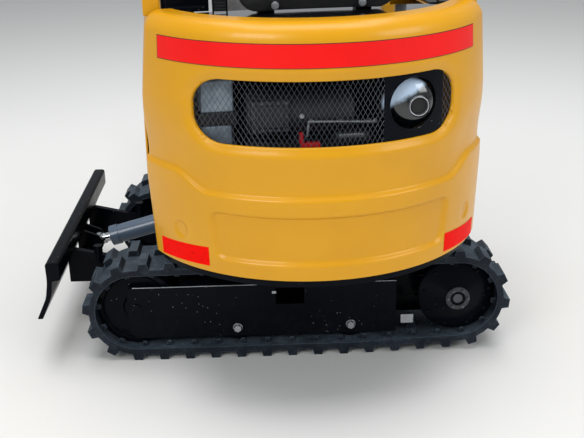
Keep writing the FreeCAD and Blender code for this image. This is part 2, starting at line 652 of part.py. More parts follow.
def inset(corners, plane, low, high, wall):
    """The space inside a prism that leaves a wall all round its outline."""
    face = prism(corners, plane, low, high).Faces
    flat = [f for f in face if f.Surface.TypeId == "Part::GeomPlane"]
    ends = sorted(flat, key=lambda f: f.Area)[-1]
    shrunk = ends.makeOffset2D(-wall)
    push = {"XY": V(0, 0, high - low), "XZ": V(0, high - low, 0), "YZ": V(high - low, 0, 0)}[plane]
    centre, target = shrunk.CenterOfMass, {"XY": V(0, 0, low), "XZ": V(0, low, 0), "YZ": V(low, 0, 0)}[plane]
    shift = {"XY": V(0, 0, target.z - centre.z), "XZ": V(0, target.y - centre.y, 0),
             "YZ": V(target.x - centre.x, 0, 0)}[plane]
    shrunk.translate(shift)
    return shrunk.extrude(push)


def turntable():
    """Ring, deck plate and the nose that carries the swing post, with the swing cylinder's base."""
    ring = bar((0, 0, DECK_Z - 22), (0, 0, DECK_Z), RING_RADIUS)
    rear = pushed(Part.Face(plan(405.0, 448.0, 120.0, DECK_Z)), V(0, 0, DECK_THICK))
    front = box((-FLOOR_HALF, FLOOR_HALF), (100, FLOOR_FRONT), (DECK_Z, DECK_Z + DECK_THICK))
    webs = [box((x - 8, x + 8), (-430, FLOOR_FRONT), (DECK_Z, WEB_TOP)) for x in (-62.0, 62.0)]
    root = box((-70, 70), (230, 338), (330, SWING_PLANE - 31))
    reach = SWING_PIN_RADIUS + 16
    nose = [(-70, 320, 0), (70, 320, 0), (reach, SWING_Y - 20, 90), (reach, SWING_Y + reach, reach - 1),
            (-reach, SWING_Y + reach, reach - 1), (-reach, SWING_Y - 20, 90)]
    upper = prism(nose, "XY", 405, 426)
    lower = prism(nose, "XY", 330, 355)
    space = box((-80, 80), (338, 480), (355, 405))
    pin = bar((0, SWING_Y, 322), (0, SWING_Y, 431), SWING_PIN_RADIUS)
    bx, by = SWING_CYL_BASE
    pillar = join([box((bx - 24, bx + 24), (by - 26, by + 26), (DECK_Z, SWING_PLANE - 28)),
                   bar((bx, by, DECK_Z), (bx, by, SWING_PLANE - 17), 15)])
    pin_up = bar((bx, by, SWING_PLANE - 30), (bx, by, SWING_PLANE + 20), 9)
    skirts = []
    height = (DECK_Z + DECK_THICK, FLOOR_Z - FLOOR_THICK)
    for side in (-1, 1):
        low, high = sorted((side * FLOOR_HALF, side * (FLOOR_HALF - 6)))
        skirts.append(box((low, high), (SIDE_FRONT, FLOOR_FRONT), height))
    skirts.append(box((-FLOOR_HALF, -262), (FLOOR_FRONT - 6, FLOOR_FRONT), height))
    skirts.append(box((104, FLOOR_HALF), (FLOOR_FRONT - 6, FLOOR_FRONT), height))
    solids = join([ring, rear, front, root, upper, lower] + webs + skirts + [pillar])
    solids = solids.cut(space)
    return join([solids, pin, pin_up])


def engine():
    """Engine as one plain block with its rocker cover, air cleaner and belt end."""
    block = box((-190, 130), (-600, -250), (WEB_TOP, 690))
    cover = box((-150, 90), (-560, -300), (690, 770))
    cleaner = bar((-190, -620, 770), (60, -620, 770), 52)
    stay = box((-80, -40), (-620, -560), (690, 770))
    return join([block, cover, cleaner, stay])


def radiator():
    """Radiator with its shroud on the left of the engine."""
    core = box((-300, -236), (-610, -270), (DECK_Z + DECK_THICK, 850))
    shroud = bar((-236, -440, 620), (-214, -440, 620), 140)
    cap = bar((-268, -560, 850), (-268, -560, 868), 22)
    return join([core, shroud, cap])


def muffler():
    """Silencer with a domed end behind the grille, and its tailpipe."""
    x, z = SILENCER
    r = SILENCER_RADIUS
    points = [(0, -560), (r - 6, -560), (r, -566), (r, -690), (r - 12, -703), (r - 30, -711), (0, -714)]
    wire = Part.makePolygon([V(u, y, 0) for u, y in points + points[:1]])
    can = Part.Face(wire).revolve(V(0, 0, 0), Y_AXIS, 360)
    can.translate(V(x, 0, z))
    pipe_end = pipe((x + 12, -724, z - 10), (x + 12, -690, z - 10), 25, 21)
    feed = bar((x, -600, z - 30), (x, -600, 690), 18)
    foot = box((x - 60, x + 20), (-620, -580), (560, 700))
    tie = box((130 + SEAT_GAP, x - 50), (-612, -588), (600, 640))
    return join([can.cut(bar((x + 12, -724, z - 10), (x + 12, -700, z - 10), 21)), pipe_end, feed, foot, tie])


def counterweight():
    """Cast block inside the lower part of the bonnet."""
    block = pushed(Part.Face(plan(392.0, 436.0, -480.0, DECK_Z + DECK_THICK)), V(0, 0, 166))
    return block.common(box((-500, 500), (-900, -612), (DECK_Z, 700)))


def seat_platform():
    """Shelf under the seat, the wall in front of the engine and the black deck behind the seat."""
    shelf = box((-SIDE_INNER, SIDE_INNER), (SIDE_REAR, SIDE_FRONT), (PLATFORM_Z - 8, PLATFORM_Z))
    wall = box((-SIDE_INNER, SIDE_INNER), (SIDE_FRONT - 8, SIDE_FRONT), (WEB_TOP, PLATFORM_Z))
    rear = bar((0, REAR_CENTRE, 966), (0, REAR_CENTRE, 976), RIM_RADIUS - 6)
    rear = rear.common(box((-500, 500), (-900, -508), (900, 1000)))
    step = box((-250, 250), (-520, -508), (PLATFORM_Z - 8, 966))
    joint = box((-250, 250), (-520, SIDE_REAR), (PLATFORM_Z - 8, PLATFORM_Z))
    hinges = []
    hy, hz = HINGE
    start = HINGE_KNUCKLE[0] - SIDE_PLAY
    for side in (-1, 1):
        lug = box(sorted((side * (start - 9), side * start)), (hy - 30, hy + 9), (976, hz + 9))
        hinges.append(lug)
        hinges.append(bar((side * (start - 9), hy, hz), (side * (HINGE_KNUCKLE[1] - 6), hy, hz), HINGE_PIN))
    return join([shelf, wall, rear, step, joint] + hinges)


def side_cover(side):
    """Cover beside the engine and the seat, open towards the middle and below."""
    rows = [(DECK_Z + DECK_THICK, 420.0), (600.0, 432.0), (800.0, 430.0), (955.0, 414.0), (SIDE_TOP, 404.0)]

    def skin(wall):
        wires = []
        for i, (z, half) in enumerate(rows):
            height = z - wall if i == len(rows) - 1 else z
            height = height - 1 if i == 0 and wall else height
            low, high = SIDE_INNER - (1 if wall else 0), half - wall
            back, ahead = SIDE_REAR - (1 if wall else 0), SIDE_FRONT - wall
            corners = [V(low, back, height), V(high, back, height), V(high, ahead, height), V(low, ahead, height)]
            wires.append(Part.makePolygon(corners + corners[:1]))
        return Part.makeLoft(wires, True, True)

    cover = skin(0).cut(skin(6))
    return cover if side > 0 else mirror_x(cover)


def seat_base():
    """Pan under the cushion with two rails."""
    pan = box((-200, 200), (-460, -80), (PLATFORM_Z + 14, PLATFORM_Z + 22))
    rails = [box((x - 14, x + 14), (-450, -90), (PLATFORM_Z, PLATFORM_Z + 14)) for x in (-130.0, 130.0)]
    stay = [box((x - 20, x + 20), (-488, -452), (PLATFORM_Z + 14, 1040)) for x in (-120.0, 120.0)]
    return join([pan] + rails + stay)


def seat_cushion():
    """Cushion of the seat, thick at its sides."""
    z = PLATFORM_Z + 22
    body = prism([(-215, z, 20), (215, z, 20), (215, z + 74, 26), (120, z + 58, 60), (-120, z + 58, 60),
                  (-215, z + 74, 26)], "XZ", -448, -62)
    return body


def seat_back():
    """Backrest, rounded at its corners, leaning a little back."""
    back = prism([(-202, 979, 50), (202, 979, 50), (212, 1330, 55), (-212, 1330, 55)], "XZ", -538, -488)
    bolts = [bar((x, -543, z), (x, -537, z), 9) for x in (-130.0, 130.0) for z in (1030.0,)]
    return join([back] + bolts)


def console(side):
    """Arm console in front of a side cover with its joystick."""
    low, high = 300.0, 388.0
    body = prism([(-56, FLOOR_Z, 0), (70, FLOOR_Z, 30), (50, 900, 40), (-56, 930, 20)], "YZ", low, high)
    stalk = bar((344, -5, 905), (344, 5, 1010), 8)
    grip = bar((344, 4, 1000), (344, 12, 1090), 17)
    shape = join([body, stalk, grip])
    return shape if side > 0 else mirror_x(shape)


def travel_levers():
    """Two travel levers with their pedals on the floor."""
    solids = []
    for side in (-1, 1):
        lever = join([
            bar((side * 62, 201, FLOOR_Z + 10), (side * 62, 218, 700), 9),
            bar((side * 62, 217, 690), (side * 78, 150, 880), 9),
            bar((side * 78, 152, 872), (side * 84, 128, 940), 15),
            box(sorted((side * 30, side * 95)), (160, 250), (FLOOR_Z + 30, FLOOR_Z + 38)),
            box(sorted((side * 54, side * 70)), (185, 215), (FLOOR_Z, FLOOR_Z + 34)),
        ])
        solids.append(lever)
    return Part.makeCompound(solids)


def floor():
    """Floor plate with the raised mat between the consoles and the pedals."""
    plate = box((-FLOOR_HALF, FLOOR_HALF), (SIDE_FRONT, FLOOR_FRONT), (FLOOR_Z - FLOOR_THICK, FLOOR_Z))
    mat = box((-MAT_HALF, MAT_HALF), (SIDE_FRONT + 16, 148), (FLOOR_Z, FLOOR_Z + MAT_THICK))
    return join([plate, mat])


def canopy_posts():
    """Four square posts."""
    solids = []
    half = POST / 2
    for side in (-1, 1):
        for (x, y), foot in ((REAR_POST, SIDE_TOP), (FRONT_POST, FLOOR_Z)):
            solids.append(box((side * x - half, side * x + half), (y - half, y + half), (foot, CANOPY_Z)))
    return Part.makeCompound(solids)


def canopy_rails():
    """Two rails along the tops of the posts."""
    solids = []
    for side in (-1, 1):
        low, high = sorted((side * 350, side * 418))
        solids.append(box((low, high), (-500, 330), (CANOPY_Z, CANOPY_Z + 36)))
    return Part.makeCompound(solids)


def canopy_roof():
    """Roof panel with a turned-down rim, open below."""
    def form(wall):
        half, back, ahead = 450 - wall, -560 + wall, 420 - wall
        low, shoulder, top = CANOPY_Z - 4, CANOPY_Z + 36, CANOPY_Z + 64
        top -= wall
        low -= 1 if wall else 0
        wires = []
        for z, cut in ((low, 0), (shoulder - wall * 0.4, 0), (top, 45)):
            corners = [(-half + cut, back + cut, 60), (half - cut, back + cut, 60), (half - cut, ahead - cut, 60),
                       (-half + cut, ahead - cut, 60)]
            wires.append(outline(corners, lambda p, z=z: V(p.x, p.y, z)))
        return Part.makeLoft(wires, True, True)

    shell = form(0).cut(form(ROOF_THICK))
    ribs = [box((-352, 352), (y - 14, y + 14), (CANOPY_Z + 36, CANOPY_Z + 60)) for y in (-448.0, -80.0, 283.0)]
    pads = [box(sorted((side * 350, side * 418)), (y - 60, y + 60), (CANOPY_Z + 36, CANOPY_Z + 60))
            for side in (-1, 1) for y in (-430.0, 260.0)]
    return join([shell] + [rib.cut(shell) for rib in ribs] + pads)


# Digging equipment


def swing_post():
    """Swing post: a sleeve on the nose's pin, a front plate and two cheeks."""
    sleeve = pipe((0, SWING_Y, 355 + SEAT_GAP), (0, SWING_Y, 405 - SEAT_GAP), 43, 22 + PIN_GAP)
    web = box((-34, 34), (SWING_Y + 30, 470), (358, 384))
    web = web.cut(bar((0, SWING_Y, 340), (0, SWING_Y, 410), 30))
    back = box((-CHEEK_IN - CHEEK_THICK, CHEEK_IN + CHEEK_THICK), (450, 468), (318, 384))
    ay, az = BOOM_FOOT
    by, bz = BOOM_CYL_BASE
    corners = [(448, 318, 8), (by - 10, bz - 27, 20), (by + 27, bz - 24, 24), (by + 27, bz + 20, 26),
               (ay + 42, az + 22, 40), (ay + 20, az + 50, 30), (448, az + 50, 12)]
    cheeks = [prism(corners, "YZ", low, high) for low, high in
              ((CHEEK_IN, CHEEK_IN + CHEEK_THICK), (-CHEEK_IN - CHEEK_THICK, -CHEEK_IN))]
    spacers = []
    for side in (-1, 1):
        low, high = sorted((side * (EYE_HALF + SIDE_PLAY), side * CHEEK_IN))
        spacers.append(bar((low, by, bz), (high, by, bz), 21))
    pins = [cross_bar(BOOM_FOOT, CHEEK_IN + CHEEK_THICK + 8, 17), cross_bar(BOOM_CYL_BASE, CHEEK_IN + CHEEK_THICK, 13)]
    lx, ly = SWING_CYL_ROD
    lugs = []
    for low, high in ((SWING_PLANE - 23, SWING_PLANE - 18), (SWING_PLANE + 18, SWING_PLANE + 25)):
        lugs.append(prism([(lx - 22, ly - 20, 20), (lx + 20, ly - 20, 20), (-CHEEK_IN - 2, 448, 0),
                           (-CHEEK_IN - 2, 470, 0), (-CHEEK_IN - CHEEK_THICK - 24, 466, 10)], "XY", low, high))
    return join([sleeve, web, back] + cheeks + spacers + pins + lugs)


BOOM_OUTLINE = [(444, 452, 0), (815, 985, 250), (1471, 1117, 0), (1488, 1044, 0), (852, 912, 160), (504, 426, 0)]


def boom():
    """Boom: a box of plates bent at the knee, forked at its tip, with the cylinder lugs."""
    half = BOOM_HALF
    body = prism(BOOM_OUTLINE, "YZ", -half, half)
    space = inset(BOOM_OUTLINE, "YZ", -half + BOOM_PLATE, half - BOOM_PLATE, BOOM_PLATE)
    space = space.common(box((-60, 60), (530, FORK_START - 18), (400, 1200)))
    body = body.cut(space)
    foot = cross_bar(BOOM_FOOT, CHEEK_IN - SIDE_PLAY, 29.5)
    tip = cross_bar(BOOM_TIP, half + 4, 37)
    plates = []
    for side in (-1, 1):
        low, high = sorted((side * (EYE_HALF + EYE_PLAY), side * (EYE_HALF + EYE_PLAY + 10)))
        py, pz = BOOM_CYL_ROD
        plates.append(prism([(760, 800, 0), (py - 60, pz - 10, 30), (py + 5, pz - 52, 50), (py + 58, pz + 10, 40),
                             (1010, 955, 0), (850, 930, 0)], "YZ", low, high))
        low, high = sorted((side * (EYE_HALF + EYE_PLAY + 10), side * (EYE_HALF + EYE_PLAY + 18)))
        plates.append(bar((low, py, pz), (high, py, pz), 26))
        low, high = sorted((side * (EYE_HALF + SIDE_PLAY), side * (EYE_HALF + SIDE_PLAY + 12)))
        py, pz = ARM_CYL_BASE
        plates.append(prism([(py - 80, 980, 0), (py - 34, pz + 26, 30), (py + 22, pz + 26, 20), (py + 24, pz - 40, 8),
                             (py + 100, 1018, 0)], "YZ", low, high))
    shape = join([body, foot, tip] + plates)
    slot = box((-FORK_HALF, FORK_HALF), (FORK_START, 1700), (900, 1300))
    shape = shape.cut(slot)
    shape = shape.cut(cross_bar(BOOM_FOOT, 100, 17 + PIN_GAP))
    pins = [cross_bar(BOOM_TIP, half + 8, 17), cross_bar(ARM_CYL_BASE, EYE_HALF + SIDE_PLAY + 16, 13)]
    return join([shape] + pins)


def lamp():
    """Work lamp on the left of the boom."""
    y, z = 716.0, 806.0
    body = prism([(y - 26, z - 34, 10), (y + 30, z - 40, 6), (y + 30, z + 40, 6), (y - 26, z + 34, 10)],
                 "YZ", -BOOM_HALF - 96, -BOOM_HALF - 16)
    stay = box((-BOOM_HALF - 60, -BOOM_HALF), (y - 8, y + 8), (z - 48, z - 34))
    return join([body, stay])


ARM_OUTLINE = [(1434, 1062, 30), (1396, 760, 0), (1351, 300, 0), (1360, 272, 20), (1408, 282, 20), (1455, 620, 300),
               (1520, 960, 200), (1522, 1100, 20), (1440, 1118, 30)]


def arm():
    """Arm: a straight box of plates with lugs for its own cylinder and for the bucket's."""
    half = ARM_HALF
    body = prism(ARM_OUTLINE, "YZ", -half, half)
    space = inset(ARM_OUTLINE, "YZ", -half + BOOM_PLATE, half - BOOM_PLATE, BOOM_PLATE)
    space = space.common(box((-60, 60), (1300, 1600), (460, 1020)))
    body = body.cut(space)
    ky, kz = BUCKET_PIN
    gy, gz = GUIDE_PIN
    solids = [body, cross_bar(BOOM_TIP, half, 42), cross_bar(BUCKET_PIN, BUCKET_EAR[0] - SIDE_PLAY, 26),
              cross_bar(GUIDE_PIN, GUIDE_PLATE[0] - SIDE_PLAY, 24)]
    py, pz = ARM_CYL_ROD
    by, bz = BUCKET_CYL_BASE
    for side in (-1, 1):
        low, high = sorted((side * (EYE_HALF + EYE_PLAY), side * half))
        solids.append(prism([(1440, 1110, 0), (py - 34, pz + 30, 30), (py + 34, pz + 30, 32), (py + 34, pz - 34, 32),
                             (1520, 1040, 0), (1450, 1040, 0)], "YZ", low, high))
        low, high = sorted((side * (EYE_HALF + SIDE_PLAY), side * half))
        solids.append(prism([(1500, 1060, 0), (by - 8, bz + 30, 20), (by + 26, bz + 26, 24), (by + 26, bz - 21, 22),
                             (by - 32, bz - 22, 16), (1490, 880, 0)], "YZ", low, high))
    shape = join(solids)
    shape = shape.cut(cross_bar(BOOM_TIP, 100, 17 + PIN_GAP))
    pins = [cross_bar(BUCKET_PIN, BUCKET_EAR[1] + 7, 16), cross_bar(GUIDE_PIN, GUIDE_PLATE[1] + 6, 13),
            cross_bar(BUCKET_CYL_BASE, half + 5, 13)]
    return join([shape] + pins)


def strap(first, second, plates, radius, bore, shoulder=0.8):
    """A pair of plates between two pins; shoulder is the width on the arm's side, as a share of the radius."""
    solids = []
    fy, fz = first
    sy, sz = second
    run = math.hypot(sy - fy, sz - fz)
    uy, uz = (sy - fy) / run, (sz - fz) / run
    near = (-uz * radius * shoulder, uy * radius * shoulder)
    far = (uz * radius * 0.8, -uy * radius * 0.8)
    corners = sharp([(fy + near[0], fz + near[1]), (fy + far[0], fz + far[1]), (sy + far[0], sz + far[1]),
                     (sy + near[0], sz + near[1])])
    for side in (-1, 1):
        low, high = sorted((side * plates[0], side * plates[1]))
        plate = join([prism(corners, "YZ", low, high), bar((low, fy, fz), (high, fy, fz), radius),
                      bar((low, sy, sz), (high, sy, sz), radius)])
        solids.append(plate.cut(cross_bar(first, 100, bore)))
    return solids


def bucket_link():
    """Guide plates between the arm and the end of the bucket cylinder's rod."""
    return Part.makeCompound(strap(GUIDE_PIN, LINK_TIP, GUIDE_PLATE, 24, 13 + PIN_GAP))


def tipping_link():
    """Link between the rod's end and the bucket's ears."""
    solids = strap(BUCKET_REAR_PIN, LINK_TIP, TIPPING_PLATE, 22, 13 + PIN_GAP, 0.1)
    ry, rz = BUCKET_REAR_PIN
    ty, tz = LINK_TIP
    middle = (ry + (ty - ry) * 0.3, rz + (tz - rz) * 0.3)
    return join(solids + [cross_bar(middle, TIPPING_PLATE[0] + 1, 11)])


BUCKET_SKIN = [(1270, 224, 0), (1420, 224, 50), (1512, 140, 80), (1430, 15, 110), (1120, 15, 0)]
BUCKET_SPACE = [(1119, 21, 0), (1427, 21, 104), (1505, 141, 74), (1418, 218, 44), (1269, 218, 0)]


def bucket():
    """Digging bucket: a rolled shell between two sides, an edge with four teeth, and two ears."""
    half = BUCKET_HALF
    shell = prism(BUCKET_SKIN, "YZ", -half, half)
    shell = shell.cut(prism(BUCKET_SPACE, "YZ", -half + 8, half - 8))
    mouth = prism(sharp([(1090, 21), (1119.5, 21), (1269.5, 218), (1240, 218)]), "YZ", -half + 8, half - 8)
    edge = box((-half, half), (1104, 1160), (15, 29))
    solids = [shell.cut(mouth), edge]
    for x in (-150.0, -50.0, 50.0, 150.0):
        tooth = prism(sharp([(1060, 16), (1128, 15), (1128, 42), (1100, 42)]), "YZ", x - 21, x + 21)
        solids.append(tooth)
    ky, kz = BUCKET_PIN
    ry, rz = BUCKET_REAR_PIN
    for side in (-1, 1):
        low, high = sorted((side * BUCKET_EAR[0], side * BUCKET_EAR[1]))
        solids.append(prism(sharp([(1347, 292), (1335, 221), (1420, 220), (1492, 188), (1486, 256), (1464, 280),
                                   (1392, 321)]), "YZ", low, high))
        solids.append(bar((low, ky, kz), (high, ky, kz), 33))
        solids.append(bar((low, ry, rz), (high, ry, rz), 27))
    shape = join(solids).cut(cross_bar(BUCKET_PIN, 100, 16 + PIN_GAP))
    return join([shape, cross_bar(BUCKET_REAR_PIN, BUCKET_EAR[1] + 5, 13)])


# Assembly


def turned(shape):
    """Turns a piece of the undercarriage by the angle between the tracks and the house."""
    shape.rotate(V(0, 0, 0), Z_AXIS, TRACK_TURN)
    return shape


def left_side(shape):
    """Moves a track piece drawn on Y = 0 to the left track and turns it."""
    placed = shape.copy()
    placed.translate(V(0, -TRACK_CENTRE, 0))
    return turned(placed)


def right_side(shape):
    return turned(mirror_y(shape.translated(V(0, -TRACK_CENTRE, 0))))


def both_sides(shapes):
    """Copies of some track pieces on both tracks, as separate solids of one node."""
    return Part.makeCompound([place(shape) for place in (left_side, right_side) for shape in shapes])


belt, frame = track(), track_frame()
blade_barrel, blade_rod = cylinder("blade", lay_xz)
swing_barrel, swing_rod = cylinder("swing", lay_xy)
boom_barrel, boom_rod = cylinder("boom", lay_yz)
arm_barrel, arm_rod = cylinder("arm", lay_yz)
bucket_barrel, bucket_rod = cylinder("bucket", lay_yz)

NODES = {
    "car_body": turned(car_body()),
    "track_left": left_side(belt),
    "track_right": right_side(belt),
    "track_frame_left": left_side(frame),
    "track_frame_right": right_side(frame),
    "idlers": both_sides([idler()]),
    "sprockets": both_sides([sprocket()]),
    "track_rollers": both_sides([roller(x) for x in ROLLER_X]),
    "travel_motors": both_sides([travel_motor()]),
    "dozer_blade": turned(blade()),
    "blade_arms": turned(blade_arms()),
    "blade_barrel": turned(blade_barrel),
    "blade_rod": turned(blade_rod),
    "turntable": turntable(),
    "engine": engine(),
    "radiator": radiator(),
    "muffler": muffler(),
    "counterweight": counterweight(),
    "seat_platform": seat_platform(),
    "seat_base": seat_base(),
    "seat_cushion": seat_cushion(),
    "seat_back": seat_back(),
    "side_cover_left": side_cover(-1),
    "side_cover_right": side_cover(1),
    "console_left": console(-1),
    "console_right": console(1),
    "travel_levers": travel_levers(),
    "floor": floor(),
    "canopy_posts": canopy_posts(),
    "canopy_rails": canopy_rails(),
    "canopy_roof": canopy_roof(),
    "engine_bonnet": engine_bonnet(),
    "mesh_grille": grille(),
    "swing_post": swing_post(),
    "swing_barrel": swing_barrel,
    "swing_rod": swing_rod,
    "boom": boom(),
    "lamp": lamp(),
    "boom_barrel": boom_barrel,
    "boom_rod": boom_rod,
    "arm": arm(),
    "arm_barrel": arm_barrel,
    "arm_rod": arm_rod,
    "bucket": bucket(),
    "bucket_link": bucket_link(),
    "tipping_link": tipping_link(),
    "bucket_barrel": bucket_barrel,
    "bucket_rod": bucket_rod,
}

for name, shape in NODES.items():
    shape.exportStep("parts/" + name + ".step")
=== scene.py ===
"""Looks of a compact tracked digger with a canopy: its rounded rear bonnet faces the camera."""

import json
import logging
import math
from contextlib import contextmanager
from dataclasses import dataclass, field
from enum import Enum
from typing import Any, Callable, Iterator, Sequence

import bpy
import numpy as np
from mathutils import Matrix, Vector

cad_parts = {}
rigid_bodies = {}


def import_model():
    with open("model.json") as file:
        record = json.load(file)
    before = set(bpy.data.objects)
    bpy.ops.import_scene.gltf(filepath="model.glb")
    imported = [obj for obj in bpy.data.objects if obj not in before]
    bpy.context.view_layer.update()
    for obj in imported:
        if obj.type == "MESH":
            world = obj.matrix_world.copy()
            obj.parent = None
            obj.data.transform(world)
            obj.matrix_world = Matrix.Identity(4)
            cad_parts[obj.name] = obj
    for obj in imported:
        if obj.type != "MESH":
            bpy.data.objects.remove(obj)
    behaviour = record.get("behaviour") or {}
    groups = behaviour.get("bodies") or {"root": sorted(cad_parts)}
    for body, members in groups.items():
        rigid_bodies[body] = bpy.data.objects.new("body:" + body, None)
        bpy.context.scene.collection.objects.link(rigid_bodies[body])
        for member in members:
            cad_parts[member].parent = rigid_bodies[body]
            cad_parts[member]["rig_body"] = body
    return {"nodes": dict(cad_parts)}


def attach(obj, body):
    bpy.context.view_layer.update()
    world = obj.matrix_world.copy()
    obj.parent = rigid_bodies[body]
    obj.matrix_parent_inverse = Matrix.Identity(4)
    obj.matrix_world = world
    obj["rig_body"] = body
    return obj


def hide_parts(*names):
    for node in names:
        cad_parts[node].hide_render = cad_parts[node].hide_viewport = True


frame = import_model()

log = logging.getLogger("digger")
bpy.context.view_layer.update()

Colour = tuple[float, float, float]
Point = tuple[float, float, float]
Object = bpy.types.Object


def srgb(red: int, green: int, blue: int) -> Colour:
    """A paint's colour as a screen shows it, turned into the linear numbers that a shader takes.

    Args:
        red: Red, 0 to 255.
        green: Green, 0 to 255.
        blue: Blue, 0 to 255.

    Returns:
        The three linear numbers.
    """
    parts = [value / 255 for value in (red, green, blue)]
    linear = [p / 12.92 if p <= 0.04045 else ((p + 0.055) / 1.055) ** 2.4 for p in parts]
    return linear[0], linear[1], linear[2]


class Value:
    """One output socket of a material, which takes part in sums written in Python."""

    def __init__(self, graph: "Graph", socket: bpy.types.NodeSocket) -> None:
        """Keeps the socket and the graph that it is in.

        Args:
            graph: The material's graph.
            socket: The output socket.
        """
        self.graph = graph
        self.socket = socket

    def _sum(self, operation: str, *terms: Any) -> "Value":
        """One Math node.

        Args:
            operation: The node's operation.
            terms: Its inputs, in order.

        Returns:
            The node's result.
        """
        return self.graph.add("Math", {"operation": operation}, dict(enumerate(terms)))

    def __add__(self, other: Any) -> "Value":
        """Self plus other."""
        return self._sum("ADD", self, other)

    def __radd__(self, other: Any) -> "Value":
        """Other plus self."""
        return self._sum("ADD", other, self)

    def __sub__(self, other: Any) -> "Value":
        """Self minus other."""
        return self._sum("SUBTRACT", self, other)

    def __rsub__(self, other: Any) -> "Value":
        """Other minus self."""
        return self._sum("SUBTRACT", other, self)

    def __mul__(self, other: Any) -> "Value":
        """Self times other."""
        return self._sum("MULTIPLY", self, other)

    def above(self, low: float, high: float) -> "Value":
        """A soft step, 0 at low and 1 at high.

        Args:
            low: Where the step starts.
            high: Where it ends.

        Returns:
            The step.
        """
        settings = {"interpolation_type": "SMOOTHSTEP"}
        return self.graph.add("MapRange", settings, {"Value": self, "From Min": low, "From Max": high})


class Graph:
    """One procedural material and the nodes in it."""

    def __init__(self, name: str) -> None:
        """Starts a material with only its shader and output.

        Args:
            name: The material's name.
        """
        self.material = bpy.data.materials.new(name)
        self.material.use_nodes = True
        self.tree = self.material.node_tree
        self.shader = self.tree.nodes["Principled BSDF"]
        self._place: Value | None = None

    def add(self, kind: str, settings: dict[str, Any] | None = None, inputs: dict[Any, Any] | None = None,
            output: Any = 0) -> Value:
        """Adds one node.

        Args:
            kind: The node's type without its prefix.
            settings: Its properties, which are set first.
            inputs: Values or links by socket name or number.
            output: The output that is wanted, by name or number.

        Returns:
            That output.
        """
        node = self.tree.nodes.new("ShaderNode" + kind)
        for name, value in (settings or {}).items():
            setattr(node, name, value)
        for key, value in (inputs or {}).items():
            self.plug(node.inputs[key], value)
        return Value(self, node.outputs[output])

    def plug(self, socket: bpy.types.NodeSocket, value: Any) -> None:
        """Links a value to an input socket, or sets the socket's own value.

        Args:
            socket: The input socket.
            value: A Value, a number or a row of numbers.
        """
        if isinstance(value, Value):
            self.tree.links.new(value.socket, socket)
        elif isinstance(value, tuple) and len(value) == 3 and socket.type == "RGBA":
            socket.default_value = (*value, 1.0)
        else:
            socket.default_value = value

    def place(self) -> Value:
        """The point on the piece, in metres."""
        if self._place is None:
            self._place = self.add("TexCoord", output="Object")
        return self._place

    def axis(self, name: str) -> Value:
        """One coordinate of the point on the piece.

        Args:
            name: X, Y or Z.

        Returns:
            The coordinate in metres.
        """
        return self.add("SeparateXYZ", None, {0: self.place()}, name)

    def stretched(self, scale: Point) -> Value:
        """The point on the piece, stretched along the axes.

        Args:
            scale: The factor along each axis.

        Returns:
            The stretched point.
        """
        return self.add("VectorMath", {"operation": "MULTIPLY"}, {0: self.place(), 1: scale})

    def noise(self, scale: float, detail: float = 2.0, rough: float = 0.5,
              vector: Value | None = None) -> Value:
        """Cloudy unevenness about 0.5.

        Args:
            scale: Features in a metre.
            detail: How many finer layers it has.
            rough: How strong those are.
            vector: Where it is read, if not at the point on the piece.

        Returns:
            The unevenness.
        """
        inputs = {"Vector": vector or self.place(), "Scale": scale, "Detail": detail, "Roughness": rough}
        return self.add("TexNoise", None, inputs)

    def cells(self, scale: float, feature: str = "F1", output: str = "Distance",
              vector: Value | None = None) -> Value:
        """A field of cells.

        Args:
            scale: Cells in a metre.
            feature: What is measured in each cell.
            output: The output that is wanted.
            vector: Where it is read, if not at the point on the piece.

        Returns:
            That output.
        """
        inputs = {"Vector": vector or self.place(), "Scale": scale}
        return self.add("TexVoronoi", {"feature": feature}, inputs, output)

    def mix(self, share: Any, first: Any, second: Any) -> Value:
        """Two colours mixed.

        Args:
            share: How much of the second, 0 to 1.
            first: The first colour.
            second: The second colour.

        Returns:
            The mixed colour.
        """
        return self.add("Mix", {"data_type": "RGBA"}, {0: share, 6: first, 7: second}, 2)

    def edges(self, radius: float) -> Value:
        """How near the point is to a sharp edge, from 0 on a flat to about 1 on an edge.

        Args:
            radius: How far from the edge it is felt, in metres.

        Returns:
            The share.
        """
        rounded = self.add("Bevel", {"samples": 4}, {"Radius": radius})
        plain = self.add("NewGeometry", output="Normal")
        alike = self.add("VectorMath", {"operation": "DOT_PRODUCT"}, {0: rounded, 1: plain}, "Value")
        return (1.0 - alike).above(0.01, 0.2)

    def bump(self, height: Value, strength: float, distance: float, below: Value | None = None) -> Value:
        """A surface raised by a height.

        Args:
            height: The height, about 0 to 1.
            strength: How much of it is used.
            distance: Its size in metres.
            below: The normal that it lies on, if not the plain one.

        Returns:
            The normal.
        """
        inputs: dict[Any, Any] = {"Strength": strength, "Distance": distance, "Height": height}
        if below is not None:
            inputs["Normal"] = below
        return self.add("Bump", None, inputs)

    def dress(self, **sockets: Any) -> None:
        """Sets the shader's sockets.

        Args:
            sockets: Values or links by the socket's name, with low lines for its spaces.
        """
        for name, value in sockets.items():
            self.plug(self.shader.inputs[name.replace("_", " ")], value)


@dataclass(frozen=True)
class Finish:
    """A finish, as a maker would order it."""

    name: str
    slot: str
    colour: Colour
    second: Colour
    roughness: float = 0.4

    def material(self) -> bpy.types.Material:
        """The finish as a material, made once.

        Returns:
            The material.
        """
        ready = bpy.data.materials.get(self.name)
        if ready:
            return ready
        graph = Graph(self.name)
        self.lay(graph)
        return graph.material

    def lay(self, graph: Graph) -> None:
        """Lays the finish on a graph: each kind of finish has its own way.

        Args:
            graph: The graph of the material.
        """
        raise NotImplementedError


